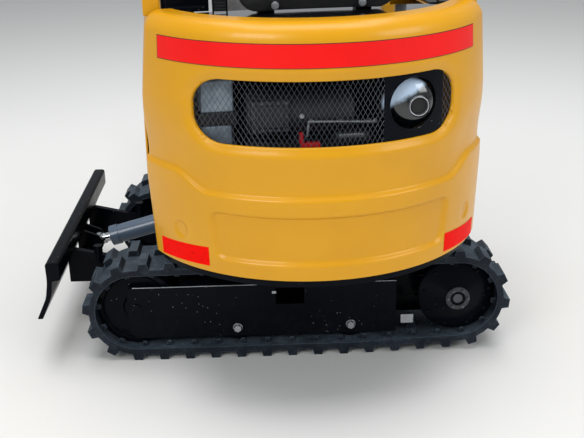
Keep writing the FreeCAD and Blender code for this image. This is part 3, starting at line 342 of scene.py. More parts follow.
@dataclass(frozen=True)
class Enamel(Finish):
    """Sprayed enamel: a clear glossy skin with a faint orange peel, some dust and a few specks."""

    coat: float = 0.6
    peel: float = 0.12
    dust: float = 0.25
    dust_colour: Colour = srgb(150, 140, 122)
    dust_top: float = 0.5
    wear: float = 0.0
    wear_colour: Colour = srgb(120, 112, 104)
    specks: float = 0.0
    speck_colour: Colour = srgb(205, 205, 200)
    ior: float = 1.5

    def lay(self, graph: Graph) -> None:
        """Lays the enamel.

        Args:
            graph: The graph of the material.
        """
        cloud = graph.noise(3.5, 4.0, 0.6)
        tint = graph.mix(cloud.above(0.35, 0.7), self.colour, self.second)
        height = graph.axis("Z")
        film = graph.noise(38.0, 6.0, 0.7)
        low = 1.0 - height.above(self.dust_top * 0.2, self.dust_top)
        dusty = film.above(0.42, 0.75) * (low * 0.8 + 0.2) * self.dust
        tint = graph.mix(dusty, tint, self.dust_colour)
        rough = self.roughness + (film - 0.5) * 0.12 + dusty * 0.35
        if self.specks:
            spot = 1.0 - graph.cells(85.0).above(0.05, 0.09)
            kept = graph.noise(9.0, 2.0).above(0.55, 0.62)
            tint = graph.mix(spot * kept * self.specks, tint, self.speck_colour)
        if self.wear:
            chips = graph.edges(0.0022) * graph.noise(70.0, 5.0, 0.75).above(0.45, 0.6) * self.wear
            tint = graph.mix(chips, tint, self.wear_colour)
            rough = rough + chips * 0.25
        skin = graph.bump(graph.noise(420.0, 2.0), self.peel, 0.0006)
        graph.dress(Base_Color=tint, Roughness=rough, Coat_Weight=self.coat, Coat_Roughness=0.06,
                    Normal=skin, IOR=self.ior)


@dataclass(frozen=True)
class Rubber(Finish):
    """Track rubber: matt, greyed by dust on its upper faces, rubbed at its edges, with a moulded skin."""

    dust: float = 0.5
    rubbed: Colour = srgb(92, 106, 120)
    ior: float = 1.25

    def lay(self, graph: Graph) -> None:
        """Lays the rubber.

        Args:
            graph: The graph of the material.
        """
        cloud = graph.noise(14.0, 6.0, 0.7)
        fine = graph.noise(160.0, 5.0, 0.7)
        normal = graph.add("NewGeometry", output="Normal")
        upper = graph.add("SeparateXYZ", None, {0: normal}, "Z").above(0.15, 0.9)
        share = cloud.above(0.35, 0.72) * fine.above(0.3, 0.7) * self.dust * (upper * 0.8 + 0.4) + upper * 0.2
        rub = graph.edges(0.004) * 0.45
        tint = graph.mix(share, self.colour, self.second)
        tint = graph.mix(rub, tint, self.rubbed)
        skin = graph.bump(fine + cloud * 0.6, 0.35, 0.0012)
        graph.dress(Base_Color=tint, Roughness=self.roughness + (cloud - 0.5) * 0.2, Normal=skin,
                    IOR=self.ior)


@dataclass(frozen=True)
class Metal(Finish):
    """Bare or plated metal with fine lines along one axis."""

    metallic: float = 1.0
    grain: Point = (60.0, 60.0, 60.0)
    strength: float = 0.08

    def lay(self, graph: Graph) -> None:
        """Lays the metal.

        Args:
            graph: The graph of the material.
        """
        lines = graph.noise(6.0, 5.0, 0.65, graph.stretched(self.grain))
        cloud = graph.noise(22.0, 4.0, 0.6)
        tint = graph.mix(cloud.above(0.3, 0.75), self.colour, self.second)
        skin = graph.bump(lines, self.strength, 0.0005)
        graph.dress(Base_Color=tint, Roughness=self.roughness + (lines - 0.5) * 0.15, Metallic=self.metallic,
                    Normal=skin)


@dataclass(frozen=True)
class Moulded(Finish):
    """Moulded plastic or sewn vinyl with a fine leather grain."""

    grain: float = 320.0
    depth: float = 0.25
    sheen: float = 0.0

    def lay(self, graph: Graph) -> None:
        """Lays the grain.

        Args:
            graph: The graph of the material.
        """
        pores = graph.cells(self.grain, "DISTANCE_TO_EDGE").above(0.0, 0.12)
        cloud = graph.noise(11.0, 4.0, 0.6)
        tint = graph.mix(cloud.above(0.35, 0.72), self.colour, self.second)
        tint = graph.mix((1.0 - pores) * 0.3, tint, tuple(c * 0.5 for c in self.colour))
        skin = graph.bump(pores, self.depth, 0.0005)
        graph.dress(Base_Color=tint, Roughness=self.roughness + (cloud - 0.5) * 0.14, Normal=skin,
                    Sheen_Weight=self.sheen)


@dataclass(frozen=True)
class Reflector(Finish):
    """Red reflective tape: a close honeycomb under a clear film."""

    comb: float = 230.0
    ior: float = 1.12

    def lay(self, graph: Graph) -> None:
        """Lays the tape.

        Args:
            graph: The graph of the material.
        """
        comb = graph.cells(self.comb, "DISTANCE_TO_EDGE").above(0.02, 0.1)
        tint = graph.mix(comb, self.second, self.colour)
        skin = graph.bump(comb, 0.1, 0.0004)
        graph.dress(Base_Color=tint, Roughness=self.roughness, Normal=skin, IOR=self.ior)


@dataclass(frozen=True)
class DomePaintedReflection(Enamel):
    """Black lacquer over a dome, with a painted bluish sky reflection at its upper left."""

    middle: tuple[float, float] = (0.0, 0.0)
    painted_reflection_colour: Colour = srgb(196, 218, 242)

    def lay(self, graph: Graph) -> None:
        """Lays the lacquer and the painted reflection.

        Args:
            graph: The graph of the material.
        """
        super().lay(graph)
        lacquer = Value(graph, graph.shader.inputs["Base Color"].links[0].from_socket)
        x, z = graph.axis("X") - self.middle[0], graph.axis("Z") - self.middle[1]
        # Painted reflection: a soft crescent of bluish white at the upper left stands in for the sky mirrored
        # in the dome
        across = z * 0.85 - x * 0.45 + (graph.noise(60.0, 4.0) - 0.5) * 0.012
        inside = 1.0 - (x * x + z * z).above(0.0031, 0.0040)
        share = across.above(0.010, 0.024) * inside * (graph.noise(26.0, 3.0) * 0.5 + 0.7)
        graph.dress(Base_Color=graph.mix(share, lacquer, self.painted_reflection_colour))


class Look:
    """The machine's finishes."""

    YELLOW = Enamel("yellow enamel", "yellow_paint", srgb(214, 153, 4), srgb(207, 147, 3), 0.34, coat=0.12,
                    peel=0.10, dust=0.04, dust_top=0.7, ior=1.40)
    BLACK = Enamel("black gloss enamel", "black_gloss", srgb(5, 8, 14), srgb(8, 12, 19), 0.24, coat=0.02,
                   dust=0.01, dust_top=0.2, specks=0.7, ior=1.13)
    GLASSY = Enamel("black lacquer", "black_gloss", srgb(6, 8, 12), srgb(9, 11, 15), 0.12, coat=0.7,
                    dust=0.02, dust_top=0.2, ior=1.5)
    BLACK_PLAIN = Enamel("black enamel", "black_paint", srgb(10, 12, 16), srgb(15, 17, 21), 0.36, coat=0.03,
                         dust=0.08, dust_top=0.4, ior=1.25)
    TRACK = Rubber("track rubber", "track_rubber", srgb(19, 25, 33), srgb(98, 112, 124), 0.6, dust=0.6)
    CHROME = Metal("chromed rod", "chrome_rod", srgb(205, 208, 212), srgb(190, 194, 200), 0.12,
                   grain=(40.0, 40.0, 3.0), strength=0.02)
    BARREL = Enamel("cylinder enamel", "black_paint", srgb(74, 90, 110), srgb(84, 101, 122), 0.32, coat=0.3,
                    dust=0.06)
    GRILLE = Enamel("grille enamel", "grille_steel", srgb(64, 68, 77), srgb(82, 87, 96), 0.34, coat=0.2,
                    dust=0.05)
    LINER = Enamel("bonnet's inside", "black_paint", srgb(15, 15, 16), srgb(20, 20, 21), 0.7, coat=0.0,
                   dust=0.05)
    ENGINE = Metal("engine casting", "engine_metal", srgb(44, 48, 53), srgb(28, 31, 34), 0.6, metallic=0.3,
                   strength=0.3)
    RADIATOR = Metal("radiator fins", "radiator_metal", srgb(146, 160, 172), srgb(104, 117, 128), 0.5,
                     metallic=0.2, grain=(4.0, 4.0, 900.0), strength=0.6)
    WEIGHT = Enamel("cast weight enamel", "cast_weight", srgb(14, 15, 18), srgb(20, 21, 24), 0.5, coat=0.1,
                    peel=0.6, dust=0.12)
    VINYL = Moulded("black seat vinyl", "seat_vinyl", srgb(22, 22, 24), srgb(28, 28, 30), 0.46, sheen=0.1)
    LAMP = Moulded("lamp housing", "lamp_black", srgb(16, 16, 18), srgb(22, 22, 24), 0.45)
    LENS = Metal("lamp lens", "", srgb(214, 218, 222), srgb(188, 194, 200), 0.1, metallic=0.2,
                 grain=(300.0, 4.0, 4.0), strength=0.5)
    BUCKET = Enamel("bucket enamel", "bucket_steel", srgb(16, 17, 20), srgb(24, 25, 27), 0.42, coat=0.2,
                    dust=0.3, dust_top=0.4, wear=0.8, wear_colour=srgb(142, 138, 132))
    PLASTIC = Moulded("grey moulded plastic", "grey_plastic", srgb(40, 42, 46), srgb(48, 50, 54), 0.5)
    MATTING = Moulded("floor matting", "grey_plastic", srgb(26, 27, 29), srgb(34, 35, 37), 0.66, grain=110.0,
                      depth=0.6)
    ZINC = Metal("zinc plated bolt", "", srgb(186, 190, 194), srgb(158, 162, 166), 0.3, metallic=0.8,
                 strength=0.1)
    STEEL = Metal("worn steel", "bucket_steel", srgb(126, 122, 118), srgb(92, 88, 84), 0.42, strength=0.3)
    RED = Enamel("red stripe film", "", srgb(240, 18, 14), srgb(230, 14, 12), 0.4, coat=0.05,
                 peel=0.05, dust=0.0, ior=1.3)
    MAROON = Enamel("dark stripe film", "", srgb(104, 18, 14), srgb(92, 16, 12), 0.45, coat=0.1,
                    peel=0.05, dust=0.0)
    RED_RUBBER = Moulded("red rubber", "", srgb(206, 18, 22), srgb(180, 14, 18), 0.5)
    REFLECTOR = Reflector("red reflector tape", "", srgb(250, 14, 4), srgb(214, 8, 2), 0.5)
    # The silencer dome, with the sky's reflection painted into its colour at the upper left
    DOME = DomePaintedReflection("silencer lacquer with painted reflection", "black_gloss", srgb(6, 8, 12), srgb(9, 11, 15), 0.12, coat=0.7,
                    dust=0.02, dust_top=0.2, ior=1.5, middle=(0.177, 0.797))
    DARK_BOLT = Metal("dark bolt", "", srgb(92, 96, 102), srgb(70, 74, 80), 0.4, metallic=0.6, strength=0.1)


class Bench:
    """Blender's modelling operators, used on one piece at a time."""

    @staticmethod
    def pick(*pieces: Object) -> None:
        """Selects only these pieces and makes the first one active.

        Args:
            pieces: The pieces.
        """
        bpy.ops.object.select_all(action="DESELECT")
        for piece in pieces:
            piece.select_set(True)
        bpy.context.view_layer.objects.active = pieces[0]

    @staticmethod
    def _named(name: str) -> Object:
        """Names the piece that was just added and settles its place in its mesh.

        Args:
            name: The piece's name.

        Returns:
            The piece.
        """
        piece = bpy.context.view_layer.objects.active
        piece.name = name
        piece.data.name = name
        bpy.ops.object.transform_apply(location=True, rotation=True, scale=True)
        return piece

    @staticmethod
    def block(name: str, low: Point, high: Point) -> Object:
        """A block between two corners.

        Args:
            name: The piece's name.
            low: Its lowest corner.
            high: Its highest corner.

        Returns:
            The piece.
        """
        bpy.ops.object.select_all(action="DESELECT")
        centre = [(a + b) / 2 for a, b in zip(low, high)]
        bpy.ops.mesh.primitive_cube_add(size=1, location=centre, scale=[b - a for a, b in zip(low, high)])
        return Bench._named(name)

    @staticmethod
    def rod(name: str, start: Point, end: Point, radius: float, end_radius: float | None = None,
            sides: int = 32) -> Object:
        """A round or many-sided bar, or a cone.

        Args:
            name: The piece's name.
            start: The middle of its first end.
            end: The middle of its other end.
            radius: Its radius at the start.
            end_radius: Its radius at the end, if not the same.
            sides: How many sides it has.

        Returns:
            The piece.
        """
        bpy.ops.object.select_all(action="DESELECT")
        a, b = Vector(start), Vector(end)
        turn = Vector((0, 0, 1)).rotation_difference(b - a).to_euler()
        bpy.ops.mesh.primitive_cone_add(vertices=sides, radius1=radius,
                                        radius2=radius if end_radius is None else end_radius,
                                        depth=(b - a).length, location=(a + b) / 2, rotation=turn)
        return Bench._named(name)

    @staticmethod
    def turned(name: str, profile: Sequence[tuple[float, float]], start: Point, ahead: Point,
               sides: int = 48) -> Object:
        """A piece turned on a lathe.

        Args:
            name: The piece's name.
            profile: Radius and distance along the axis of each point. It is closed, or starts and ends on
                the axis.
            start: Where the axis starts.
            ahead: The axis.
            sides: Faces round it.

        Returns:
            The piece.
        """
        piece = Bench.sheet(name, sides, len(profile) - 1)
        flat = Bench.points(piece)
        turn = flat[:, 0] * 2 * math.pi
        rows = np.rint(flat[:, 1] * (len(profile) - 1)).astype(int)
        radius, along = np.array(profile)[rows].T
        axis = Vector(ahead).normalized()
        side = axis.orthogonal().normalized()
        other = axis.cross(side)
        places = (np.array(start) + np.outer(radius * np.cos(turn), side)
                  + np.outer(radius * np.sin(turn), other) + np.outer(along, axis))
        Bench.move(piece, places)
        return Bench.outward(piece)

    @staticmethod
    def sheet(name: str, across: int, up: int) -> Object:
        """A flat square net of faces, 1 by 1, to be laid on a form.

        Args:
            name: The piece's name.
            across: Faces across.
            up: Faces up.

        Returns:
            The piece.
        """
        bpy.ops.object.select_all(action="DESELECT")
        bpy.ops.mesh.primitive_grid_add(x_subdivisions=across, y_subdivisions=up, size=1,
                                        location=(0.5, 0.5, 0))
        return Bench._named(name)

    @staticmethod
    def points(piece: Object) -> np.ndarray:
        """The places of a piece's vertices.

        Args:
            piece: The piece.

        Returns:
            A row for each.
        """
        places = np.empty(len(piece.data.vertices) * 3)
        piece.data.vertices.foreach_get("co", places)
        return places.reshape(-1, 3)

    @staticmethod
    def move(piece: Object, places: np.ndarray) -> None:
        """Moves a piece's vertices.

        Args:
            piece: The piece.
            places: Their new places, a row for each.
        """
        piece.data.vertices.foreach_set("co", places.astype(np.float32).ravel())
        piece.data.update()

    @staticmethod
    @contextmanager
    def edit(piece: Object, faces: Callable[[Any], bool] | None = None,
             edges: Callable[[Any, Any], bool] | None = None) -> Iterator[None]:
        """Edit mode with the faces or edges that pass a test selected, or with all selected.

        Args:
            piece: The piece.
            faces: A test of a face.
            edges: A test of an edge, which gets the places of its two ends.

        Yields:
            Nothing: the piece is in edit mode meanwhile.
        """
        Bench.pick(piece)
        mesh = piece.data
        bpy.ops.object.mode_set(mode="EDIT")
        mode = "FACE" if faces else "EDGE" if edges else "VERT"
        bpy.ops.mesh.select_mode(type=mode)
        bpy.ops.mesh.select_all(action="DESELECT" if faces or edges else "SELECT")
        if faces or edges:
            bpy.ops.object.mode_set(mode="OBJECT")
            if faces:
                for face in mesh.polygons:
                    face.select = bool(faces(face))
            else:
                for edge in mesh.edges:
                    a, b = (mesh.vertices[i].co for i in edge.vertices)
                    edge.select = bool(edges(a, b))
            bpy.ops.object.mode_set(mode="EDIT")
        yield
        bpy.ops.object.mode_set(mode="OBJECT")

    @staticmethod
    def modify(piece: Object, kind: str, **settings: Any) -> None:
        """Adds a modifier and applies it.

        Args:
            piece: The piece.
            kind: The modifier's type.
            settings: Its properties.
        """
        Bench.pick(piece)
        modifier = piece.modifiers.new(kind.title(), kind)
        for name, value in settings.items():
            setattr(modifier, name, value)
        bpy.ops.object.modifier_apply(modifier=modifier.name)

    @staticmethod
    def soften(piece: Object, width: float, segments: int = 2, angle: float = 38.0) -> Object:
        """Rounds a piece's sharp edges and shades it smooth between them.

        Args:
            piece: The piece.
            width: The width of the rounding in metres.
            segments: Faces across it.
            angle: Edges sharper than this are rounded, in degrees.

        Returns:
            The piece.
        """
        Bench.modify(piece, "BEVEL", width=width, segments=segments, limit_method="ANGLE",
                     angle_limit=math.radians(angle), miter_outer="MITER_ARC")
        return Bench.shade(piece)

    @staticmethod
    def shade(piece: Object, angle: float = 32.0) -> Object:
        """Shades a piece smooth, but for edges sharper than an angle.

        Args:
            piece: The piece.
            angle: The angle in degrees.

        Returns:
            The piece.
        """
        Bench.pick(piece)
        bpy.ops.object.shade_smooth_by_angle(angle=math.radians(angle))
        Bench.modify(piece, "WEIGHTED_NORMAL", keep_sharp=True)
        return piece

    @staticmethod
    def outward(piece: Object) -> Object:
        """Merges a piece's doubles and turns its faces outwards.

        Args:
            piece: The piece.

        Returns:
            The piece.
        """
        with Bench.edit(piece):
            bpy.ops.mesh.remove_doubles(threshold=1e-5)
            bpy.ops.mesh.normals_make_consistent(inside=False)
        return piece

    @staticmethod
    def copies(piece: Object, places: Sequence[Matrix]) -> list[Object]:
        """Copies of a piece, each with its own mesh.

        Args:
            piece: The piece, which stays as it is.
            places: How each copy is turned and moved.

        Returns:
            The copies.
        """
        made = []
        for number, place in enumerate(places):
            copy = piece.copy()
            copy.data = piece.data.copy()
            copy.data.transform(place)
            copy.name = f"{piece.name}_{number + 1}"
            bpy.context.scene.collection.objects.link(copy)
            made.append(copy)
        return made

    @staticmethod
    def join(name: str, pieces: Sequence[Object]) -> Object:
        """Makes one piece of several.

        Args:
            name: The piece's name.
            pieces: The pieces.

        Returns:
            The piece.
        """
        Bench.pick(*pieces)
        if len(pieces) > 1:
            bpy.ops.object.join()
        piece = bpy.context.view_layer.objects.active
        piece.name = name
        piece.data.name = name
        return piece

    @staticmethod
    def discard(piece: Object) -> None:
        """Takes a pattern piece away once its copies are made."""
        bpy.data.objects.remove(piece)


class Fitter:
    """Puts each finished piece on its body and reports it."""

    @staticmethod
    def fit(piece: Object, body: str, finish: Finish, replaces: Sequence[str] = ()) -> Object:
        """Gives a piece its finish and its body.

        Args:
            piece: The piece.
            body: The body it rides on.
            finish: Its finish.
            replaces: CAD nodes that it stands for.

        Returns:
            The piece.
        """
        piece.data.materials.clear()
        piece.data.materials.append(finish.material())
        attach(piece, body)
        if replaces:
            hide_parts(*replaces)
        log.info("%s rides on %s in %s", piece.name, body, finish.name)
        return piece

    @staticmethod
    def softened(name: str, finish: Finish, width: float) -> Object:
        """A copy of a CAD node with its sharp edges rounded, which stands for the node.

        Args:
            name: The node.
            finish: Its finish.
            width: The width of the rounding in metres, 0 where the node's own roundings do.

        Returns:
            The piece.
        """
        node = frame["nodes"][name]
        piece = bpy.data.objects.new(f"{name}_shell", node.data.copy())
        bpy.context.scene.collection.objects.link(piece)
        with Bench.edit(piece):
            bpy.ops.mesh.remove_doubles(threshold=1e-5)
            if width:
                bpy.ops.mesh.dissolve_limited(angle_limit=math.radians(0.6))
        if width:
            Bench.soften(piece, width)
        else:
            Bench.shade(piece)
        return Fitter.fit(piece, node["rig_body"], finish, [name])


# Y of the upright axis that the bonnet, its grille and the rear deck are drawn round
REAR_CENTRE = -0.321
# How far the undercarriage is turned from the machine's own axes, in degrees
TRACKS_TURN = -6.3


def step(value: np.ndarray, low: float, high: float) -> np.ndarray:
    """A soft step from 0 at low to 1 at high.

    Args:
        value: Where it is read.
        low: Where the step starts.
        high: Where it ends.

    Returns:
        The step.
    """
    share = np.clip((value - low) / (high - low), 0, 1)
    return share * share * (3 - 2 * share)


def beyond(dx: Any, dz: Any, radius: float) -> Any:
    """How far points are outside a rectangle with round corners, below 0 within it.

    Args:
        dx: Distance across from the middle, less half the width without the corner.
        dz: Distance up from the middle, less half the height without the corner.
        radius: The corner's radius.

    Returns:
        The distances.
    """
    return np.hypot(np.maximum(dx, 0), np.maximum(dz, 0)) + np.minimum(np.maximum(dx, dz), 0) - radius


@dataclass
class Bonnet:
    """The rounded rear cover: crowned shell, rolled rim, oblong opening, crease, panel and dimples."""

    centre_y: float = REAR_CENTRE
    front_y: float = -0.480
    bottom: float = 0.395
    shoulder: float = 0.955
    top: float = 1.000
    rim_radius: float = 0.378
    rim_lip: float = 0.965
    wall: float = 0.008
    corner: float = 0.040
    # Height, half width and rear radius
    sections: tuple[tuple[float, float, float], ...] = (
        (0.395, 0.420, 0.460), (0.600, 0.432, 0.467), (0.800, 0.430, 0.466), (0.960, 0.414, 0.458))
    roll: float = 0.0405
    middle: float = 0.352
    # Left, right, low and high
    opening: tuple[float, float, float, float] = (-0.321, 0.303, 0.717, 0.875)
    opening_corner: float = 0.068
    # Steps of the opening's edge, towards its middle and into the machine
    lip: tuple[tuple[float, float], ...] = (
        (0.0018, 0.0004), (0.0017, 0.0013), (0.0008, 0.0022), (0.0001, 0.0025))
    hollow: float = 0.0075
    hollow_slope: tuple[float, float] = (-0.004, 0.021)
    pressed: float = 0.0085
    # Height at the rear, rise at the sides, and the turns in degrees between which it rises
    crease: tuple[float, float, float, float] = (0.597, 0.042, 38.5, 52.5)
    crease_slope: tuple[float, float] = (-0.003, 0.009)
    crease_fade: tuple[float, float] = (0.02, 0.13)
    # Height of the middle, half width there, half height and corner
    panel: tuple[float, float, float, float] = (0.495, 0.284, 0.058, 0.020)
    panel_flare: float = 0.10
    panel_slopes: tuple[float, float] = (0.0065, 0.0035)
    # Turn in degrees, radius of the shell there, height and depth
    dimple: tuple[float, float, float, float] = (51.0, 0.466, 0.487, 0.0045)
    dimple_slope: tuple[float, float] = (0.017, 0.025)
    # Turns in degrees of its ends, low and high
    stripe: tuple[float, float, float, float] = (-57.0, 51.5, 0.9030, 0.9540)
    stripe_edge: tuple[float, float] = (0.3, 0.0018)
    # Side, turns in degrees of its ends, and lift over the heights below
    tapes: tuple[tuple[str, tuple[float, float], float], ...] = (
        ("left", (-39.9, -61.6), 0.001), ("right", (38.4, 60.7), -0.004))
    tape_low: tuple[float, float] = (0.409, 0.399)
    tape_high: tuple[float, float] = (0.458, 0.444)
    finish: Finish = field(default=Look.YELLOW)

    def size_at(self, height: np.ndarray) -> tuple[np.ndarray, np.ndarray]:
        """Half width and rear radius at heights.

        Args:
            height: The heights.

        Returns:
            The half widths and the radii.
        """
        levels, halves, radii = zip(*self.sections)
        return np.interp(height, levels, halves), np.interp(height, levels, radii)

    def outline(self, half: float, radius: float) -> np.ndarray:
        """The plan outline from the middle zone's right edge to the front right corner.

        Args:
            half: Half width.
            radius: Rear radius.

        Returns:
            Points along it, a row of X and Y for each.
        """
        lean = math.asin((half - self.corner) / (radius - self.corner))
        corner_y = self.centre_y - (radius - self.corner) * math.cos(lean)
        start = math.asin(self.middle / radius)
        turns = np.linspace(start, lean, 60)
        rear = np.stack([radius * np.sin(turns), self.centre_y - radius * np.cos(turns)], 1)
        turns = np.linspace(lean, math.pi / 2, 16)[1:]
        bend = np.stack([half - self.corner + self.corner * np.sin(turns),
                         corner_y - self.corner * np.cos(turns)], 1)
        side = np.array([[half, self.front_y]])
        return np.concatenate([rear, bend, side])

    def ring(self, half: float, radius: float, middle: np.ndarray, outer: np.ndarray) -> np.ndarray:
        """One row of the shell, from its front left corner round the rear to its front right.

        Args:
            half: Half width.
            radius: Rear radius.
            middle: X of the columns of the middle zone.
            outer: Shares along the outer zone of its columns.

        Returns:
            Points, a row of X and Y for each.
        """
        line = self.outline(half, radius)
        along = np.concatenate([[0], np.cumsum(np.hypot(*np.diff(line, axis=0).T))])
        right = np.stack([np.interp(outer * along[-1], along, line[:, k]) for k in (0, 1)], 1)
        rear = np.stack([middle, self.centre_y - np.sqrt(radius ** 2 - middle ** 2)], 1)
        left = right[::-1] * (-1, 1)
        return np.concatenate([left, rear, right])

    def relief(self, places: np.ndarray) -> np.ndarray:
        """How far the pressed forms stand out of the plain shell.

        Args:
            places: Points on the plain shell.

        Returns:
            The height of each, in metres, below 0 where it is pressed in.
        """
        x, y, z = places.T
        turn = np.degrees(np.arctan2(np.abs(x), -(y - self.centre_y)))
        low, rise, *rising = self.crease
        crease = low + rise * step(turn, *rising)
        out = -self.pressed * step(z, *(crease + edge for edge in self.crease_slope))
        out *= 1 - step(z, *(crease + edge for edge in self.crease_fade))
        middle, wide, tall, bend = self.panel
        half = wide + (z - middle) * self.panel_flare
        edge = beyond(np.abs(x) - (half - bend), np.abs(z - middle) - (tall - bend), bend)
        slope = np.where(z < middle, *self.panel_slopes)
        out -= self.pressed * (1 - step(edge, -slope, slope))
        place, radius, level, deep = self.dimple
        for side in (-1, 1):
            span = np.hypot((turn * np.sign(x) - side * place) * radius * math.pi / 180, z - level)
            out -= deep * (1 - step(span, *self.dimple_slope))
        rear = (y < self.centre_y) & (np.abs(x) < self.middle)
        margin = np.where(rear, self.from_opening(x, z), 1.0)
        out -= self.hollow * (1 - step(margin, *self.hollow_slope))
        return out

    def from_opening(self, x: Any, z: Any) -> Any:
        """How far points are outside the opening's edge, below 0 within it.

        Args:
            x: X of the points.
            z: Z of the points.

        Returns:
            The distances, seen from the rear.
        """
        x0, x1, z0, z1 = self.opening
        r = self.opening_corner
        return beyond(np.abs(x - (x0 + x1) / 2) - ((x1 - x0) / 2 - r),
                      np.abs(z - (z0 + z1) / 2) - ((z1 - z0) / 2 - r), r)

    def lay(self, places: np.ndarray, lift: float = 0.0) -> np.ndarray:
        """Presses the forms into points of the plain shell.

        Args:
            places: Points on the plain shell.
            lift: A further height above it.

        Returns:
            The moved points.
        """
        out = self.relief(places) + lift
        x, y = places[:, 0], places[:, 1] - self.centre_y
        length = np.hypot(x, y)
        moved = places.copy()
        moved[:, 0] += x / length * out
        moved[:, 1] += y / length * out
        return moved

    def warp(self, x: np.ndarray, z: np.ndarray) -> tuple[np.ndarray, np.ndarray]:
        """Draws the net's lines round the opening's corners, so that its edge is round there.

        Args:
            x: X of the points.
            z: Z of the points.

        Returns:
            Their new X and Z.
        """
        x0, x1, z0, z1 = self.opening
        r = self.opening_corner
        for cx, sx in ((x0 + r, -1), (x1 - r, 1)):
            for cz, sz in ((z0 + r, -1), (z1 - r, 1)):
                dx, dz = (x - cx) * sx, (z - cz) * sz
                span = np.maximum(dx, dz)
                inside = (dx > 0) & (dz > 0)
                length = np.hypot(dx, dz)
                fade = 1 - step(span, r, r * 1.9)
                scale = 1 + (span / np.maximum(length, 1e-9) - 1) * fade
                x = np.where(inside, cx + sx * dx * scale, x)
                z = np.where(inside, cz + sz * dz * scale, z)
        return x, z

    def heights(self) -> np.ndarray:
        """Levels of the net's rows from the foot to the shoulder, closer together at the opening.

        Returns:
            The levels.
        """
        _, _, z0, z1 = self.opening
        return np.concatenate([np.linspace(self.bottom, z0, 86)[:-1], np.linspace(z0, z1, 31)[:-1],
                               np.linspace(z1, self.shoulder, 21)])

    def net(self, heights: np.ndarray) -> np.ndarray:
        """The plain shell's points: its wall, its rolled shoulder, its flat top and the lip inside that.

        Args:
            heights: Levels of the wall's rows.

        Returns:
            Rows of points, each from the left round the rear to the right.
        """
        x0, x1, _, _ = self.opening
        middle = np.concatenate([np.linspace(-self.middle, x0, 9)[:-1], np.linspace(x0, x1, 121),
                                 np.linspace(x1, self.middle, 9)[1:]])
        outer = np.linspace(0, 1, 41)[1:]

        def level(half: float, radius: float, z: float) -> np.ndarray:
            """One row of points at a height."""
            ring = self.ring(float(half), float(radius), middle, outer)
            return np.column_stack([ring, np.full(len(ring), z)])

        rows = [level(*self.size_at(z), z) for z in heights]
        half, radius = self.size_at(np.array(self.shoulder))
        for turn in np.linspace(0, math.pi / 2, 10)[1:]:
            inset = self.roll * (1 - math.cos(turn))
            z = self.shoulder + (self.top - self.shoulder) * math.sin(turn)
            rows.append(level(half - inset, radius - inset, z))
        edge = rows[-1]
        turns = np.arctan2(edge[:, 0], -(edge[:, 1] - self.centre_y))
        reach = math.acos((self.centre_y - self.front_y) / self.rim_radius)
        turns = turns * reach / turns.max()
        inner = np.column_stack([self.rim_radius * np.sin(turns),
                                 self.centre_y - self.rim_radius * np.cos(turns), edge[:, 2]])
        steps = [(share, 0.0) for share in (0.2, 0.45, 0.7, 0.88)]
        steps += [(0.96, 0.0012), (1.0, 0.005), (1.0, 0.018), (1.0, self.top - self.rim_lip)]
        rows += [edge + (inner - edge) * share - (0, 0, drop) for share, drop in steps]
        return np.array(rows)

    def shell(self) -> Object:
        """The whole cover.

        Returns:
            The piece.
        """
        heights = self.heights()
        net = self.net(heights)
        piece = Bench.sheet("bonnet_shell", net.shape[1] - 1, net.shape[0] - 1)
        places = net.reshape(-1, 3)
        outside = np.repeat(np.arange(net.shape[0]) < len(heights), net.shape[1])
        x, z = self.warp(places[:, 0], places[:, 2])
        near = outside & (np.abs(places[:, 0]) <= self.middle + 1e-6)
        _, radius = self.size_at(z)
        places[near, 0] = x[near]
        places[near, 2] = z[near]
        places[near, 1] = self.centre_y - np.sqrt(radius[near] ** 2 - x[near] ** 2)
        places[outside] = self.lay(places[outside])
        Bench.move(piece, places)
        self.cut_opening(piece)
        Bench.modify(piece, "SOLIDIFY", thickness=self.wall, offset=-1, use_even_offset=True,
                     use_quality_normals=True)
        Bench.shade(piece, 50)
        return piece

    def cut_opening(self, piece: Object) -> None:
        """Takes the faces of the opening out and rolls the edge inwards.

        Args:
            piece: The cover before it has its wall.
        """
        def within(face: Any) -> bool:
            """Whether a face is in the opening."""
            x, y, z = face.center
            return y < self.centre_y - 0.1 and self.from_opening(x, z) < -0.0005

        with Bench.edit(piece, faces=within):
            bpy.ops.mesh.delete(type="FACE")
        self.pick_edge(piece)
        self.draw_edge(piece)
        self.turn_in(piece)

    def pick_edge(self, piece: Object) -> None:
        """Selects the cover's open edges on the opening's line.

        Args:
            piece: The cover.
        """
        counts: dict[tuple[int, int], int] = {}
        for face in piece.data.polygons:
            for key in face.edge_keys:
                counts[key] = counts.get(key, 0) + 1
        Bench.pick(piece)
        bpy.ops.object.mode_set(mode="EDIT")
        bpy.ops.mesh.select_mode(type="EDGE")
        bpy.ops.mesh.select_all(action="DESELECT")
        bpy.ops.object.mode_set(mode="OBJECT")
        for edge in piece.data.edges:
            key = tuple(sorted(edge.vertices))
            ends = (piece.data.vertices[i].co for i in key)
            edge.select = counts.get(key) == 1 and all(
                abs(self.from_opening(p.x, p.z)) < 0.008 and p.y < self.centre_y - 0.1 for p in ends)

